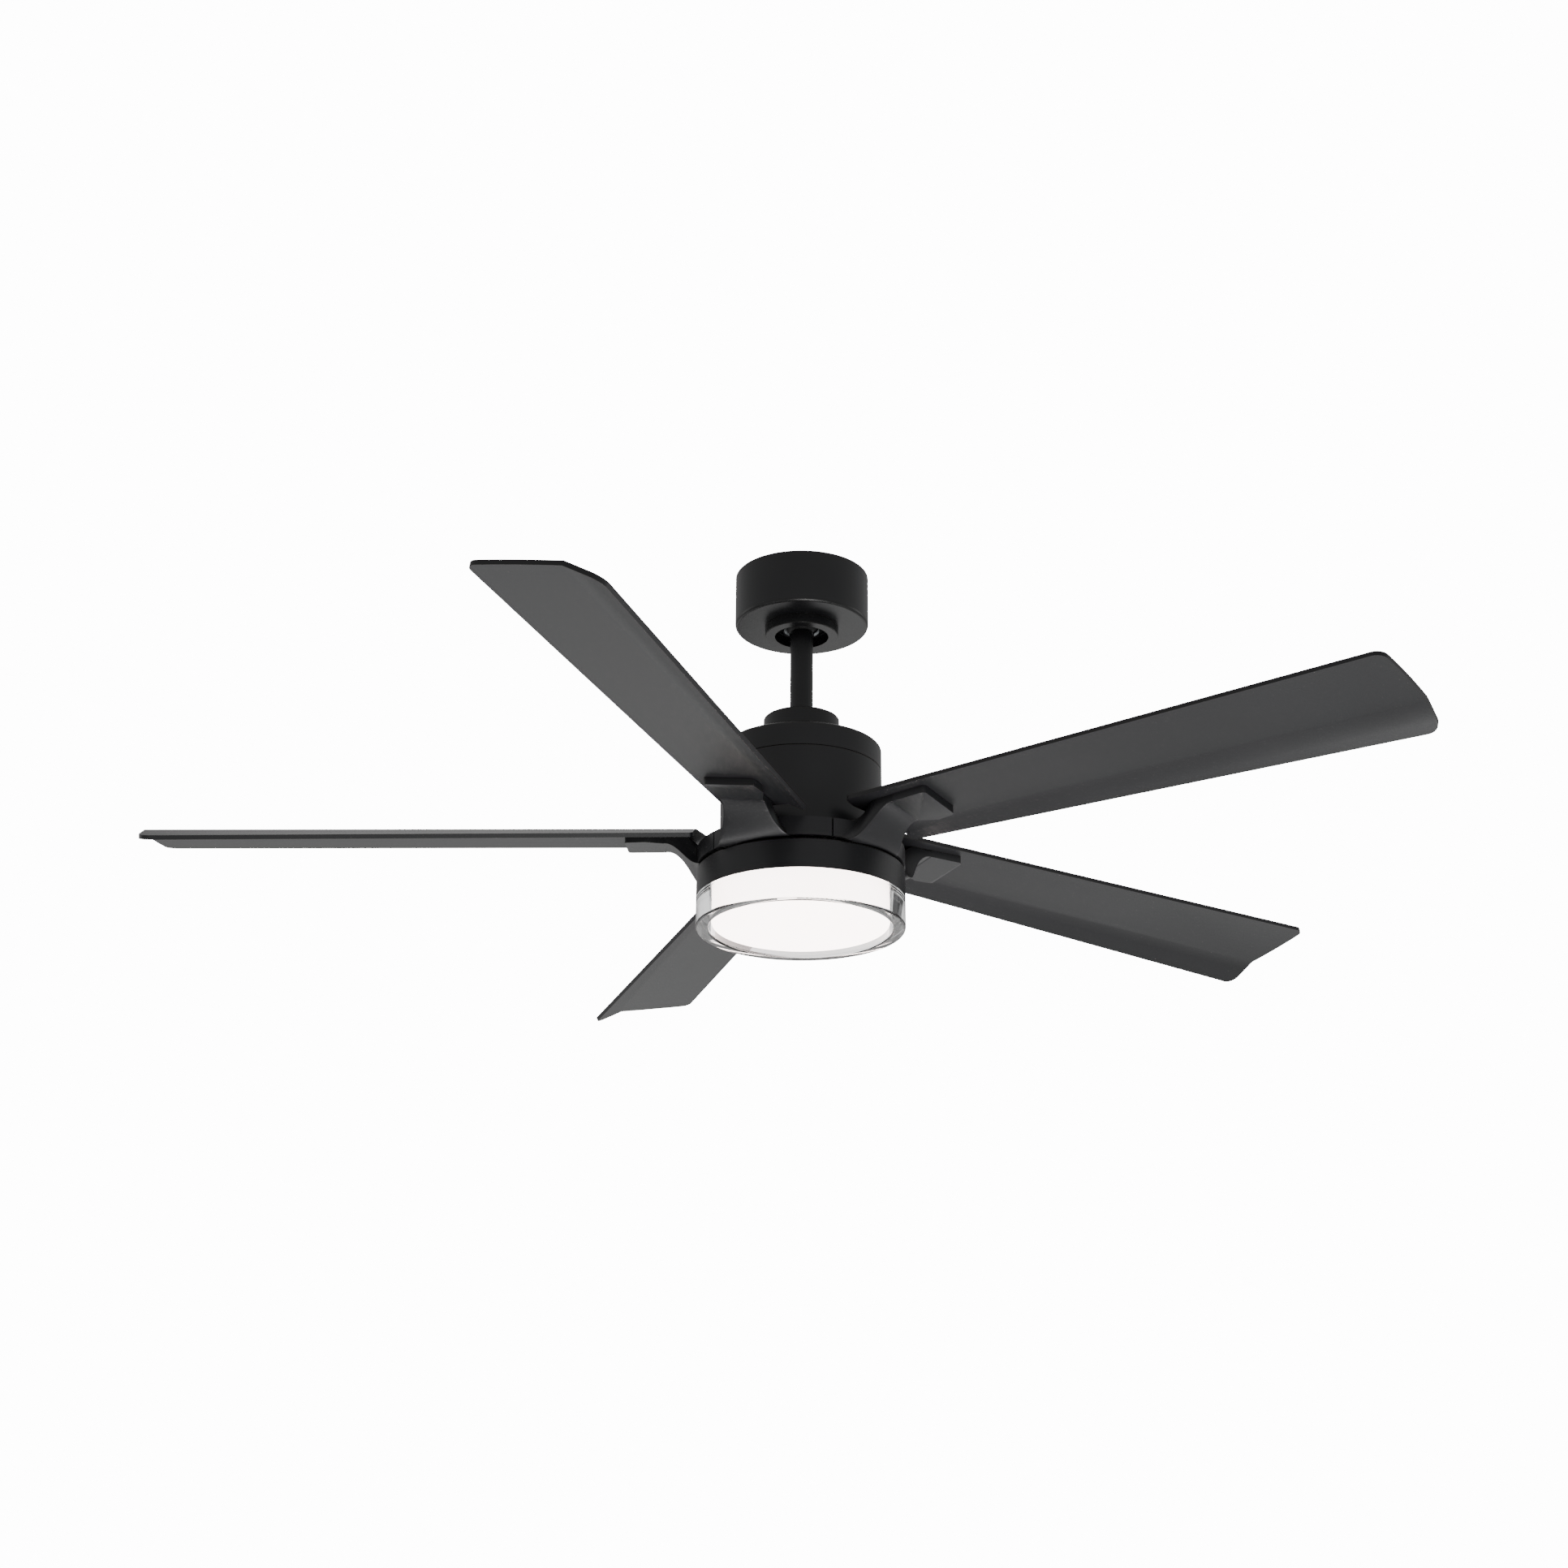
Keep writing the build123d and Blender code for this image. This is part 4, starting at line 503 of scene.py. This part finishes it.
def pale_floor():
    """A plain pale floor, one storey below the ceiling."""
    mesh = bpy.data.meshes.new("floor")
    half, height = FLOOR_HALF, FLOOR_Z
    mesh.from_pydata(
        [(-half, -half, height), (half, -half, height), (half, half, height), (-half, half, height)],
        [],
        [(0, 1, 2, 3)],
    )
    material, _, _ = new_material("pale_floor", Base_Color=linear("#f4f4f3"), Roughness=0.9)
    mesh.materials.append(material)
    floor = bpy.data.objects.new("floor", mesh)
    bpy.context.scene.collection.objects.link(floor)


def studio_world():
    """White surroundings to look at, greyer ones seen through glass, and a dim even glow to light by."""
    world = bpy.data.worlds.new("studio")
    bpy.context.scene.world = world
    world.use_nodes = True
    tree = world.node_tree
    tree.nodes.clear()
    path = add_node(tree, "ShaderNodeLightPath")
    through = add_node(
        tree,
        "ShaderNodeMapRange",
        inputs={
            "Value": path.outputs["Is Transmission Ray"],
            "To Min": WHITE_AS_LIGHT,
            "To Max": WHITE_THROUGH_GLASS,
        },
    )
    seen = add_node(
        tree,
        "ShaderNodeMix",
        inputs={
            "Factor": path.outputs["Is Camera Ray"],
            "A": through.outputs["Result"],
            "B": SEEN_WHITE,
        },
    )
    sky = add_node(
        tree,
        "ShaderNodeBackground",
        inputs={"Color": (1, 1, 1, 1), "Strength": seen.outputs["Result"]},
    )
    out = add_node(tree, "ShaderNodeOutputWorld")
    tree.links.new(sky.outputs["Background"], out.inputs["Surface"])


def camera():
    """Standing-height camera that looks up at the fan."""
    lens = bpy.data.cameras.new("camera")
    lens.sensor_width = SENSOR_MM
    lens.lens = LENS_MM
    holder = bpy.data.objects.new("camera", lens)
    bpy.context.scene.collection.objects.link(holder)
    pitch, yaw, roll = (math.radians(d) for d in (CAMERA_PITCH, CAMERA_YAW, CAMERA_ROLL))
    forward = Vector(
        (math.sin(yaw) * math.cos(pitch), math.cos(yaw) * math.cos(pitch), math.sin(pitch))
    )
    right = forward.cross(Vector((0, 0, 1))).normalized()
    up = right.cross(forward)
    rolled_right = right * math.cos(roll) + up * math.sin(roll)
    rolled_up = up * math.cos(roll) - right * math.sin(roll)
    turn = Matrix((rolled_right, rolled_up, -forward)).transposed().to_4x4()
    holder.matrix_world = Matrix.Translation(CAMERA_PLACE) @ turn
    bpy.context.scene.camera = holder


pale_floor()
studio_world()
for light in LIGHTS:
    soft_light(*light)
camera()
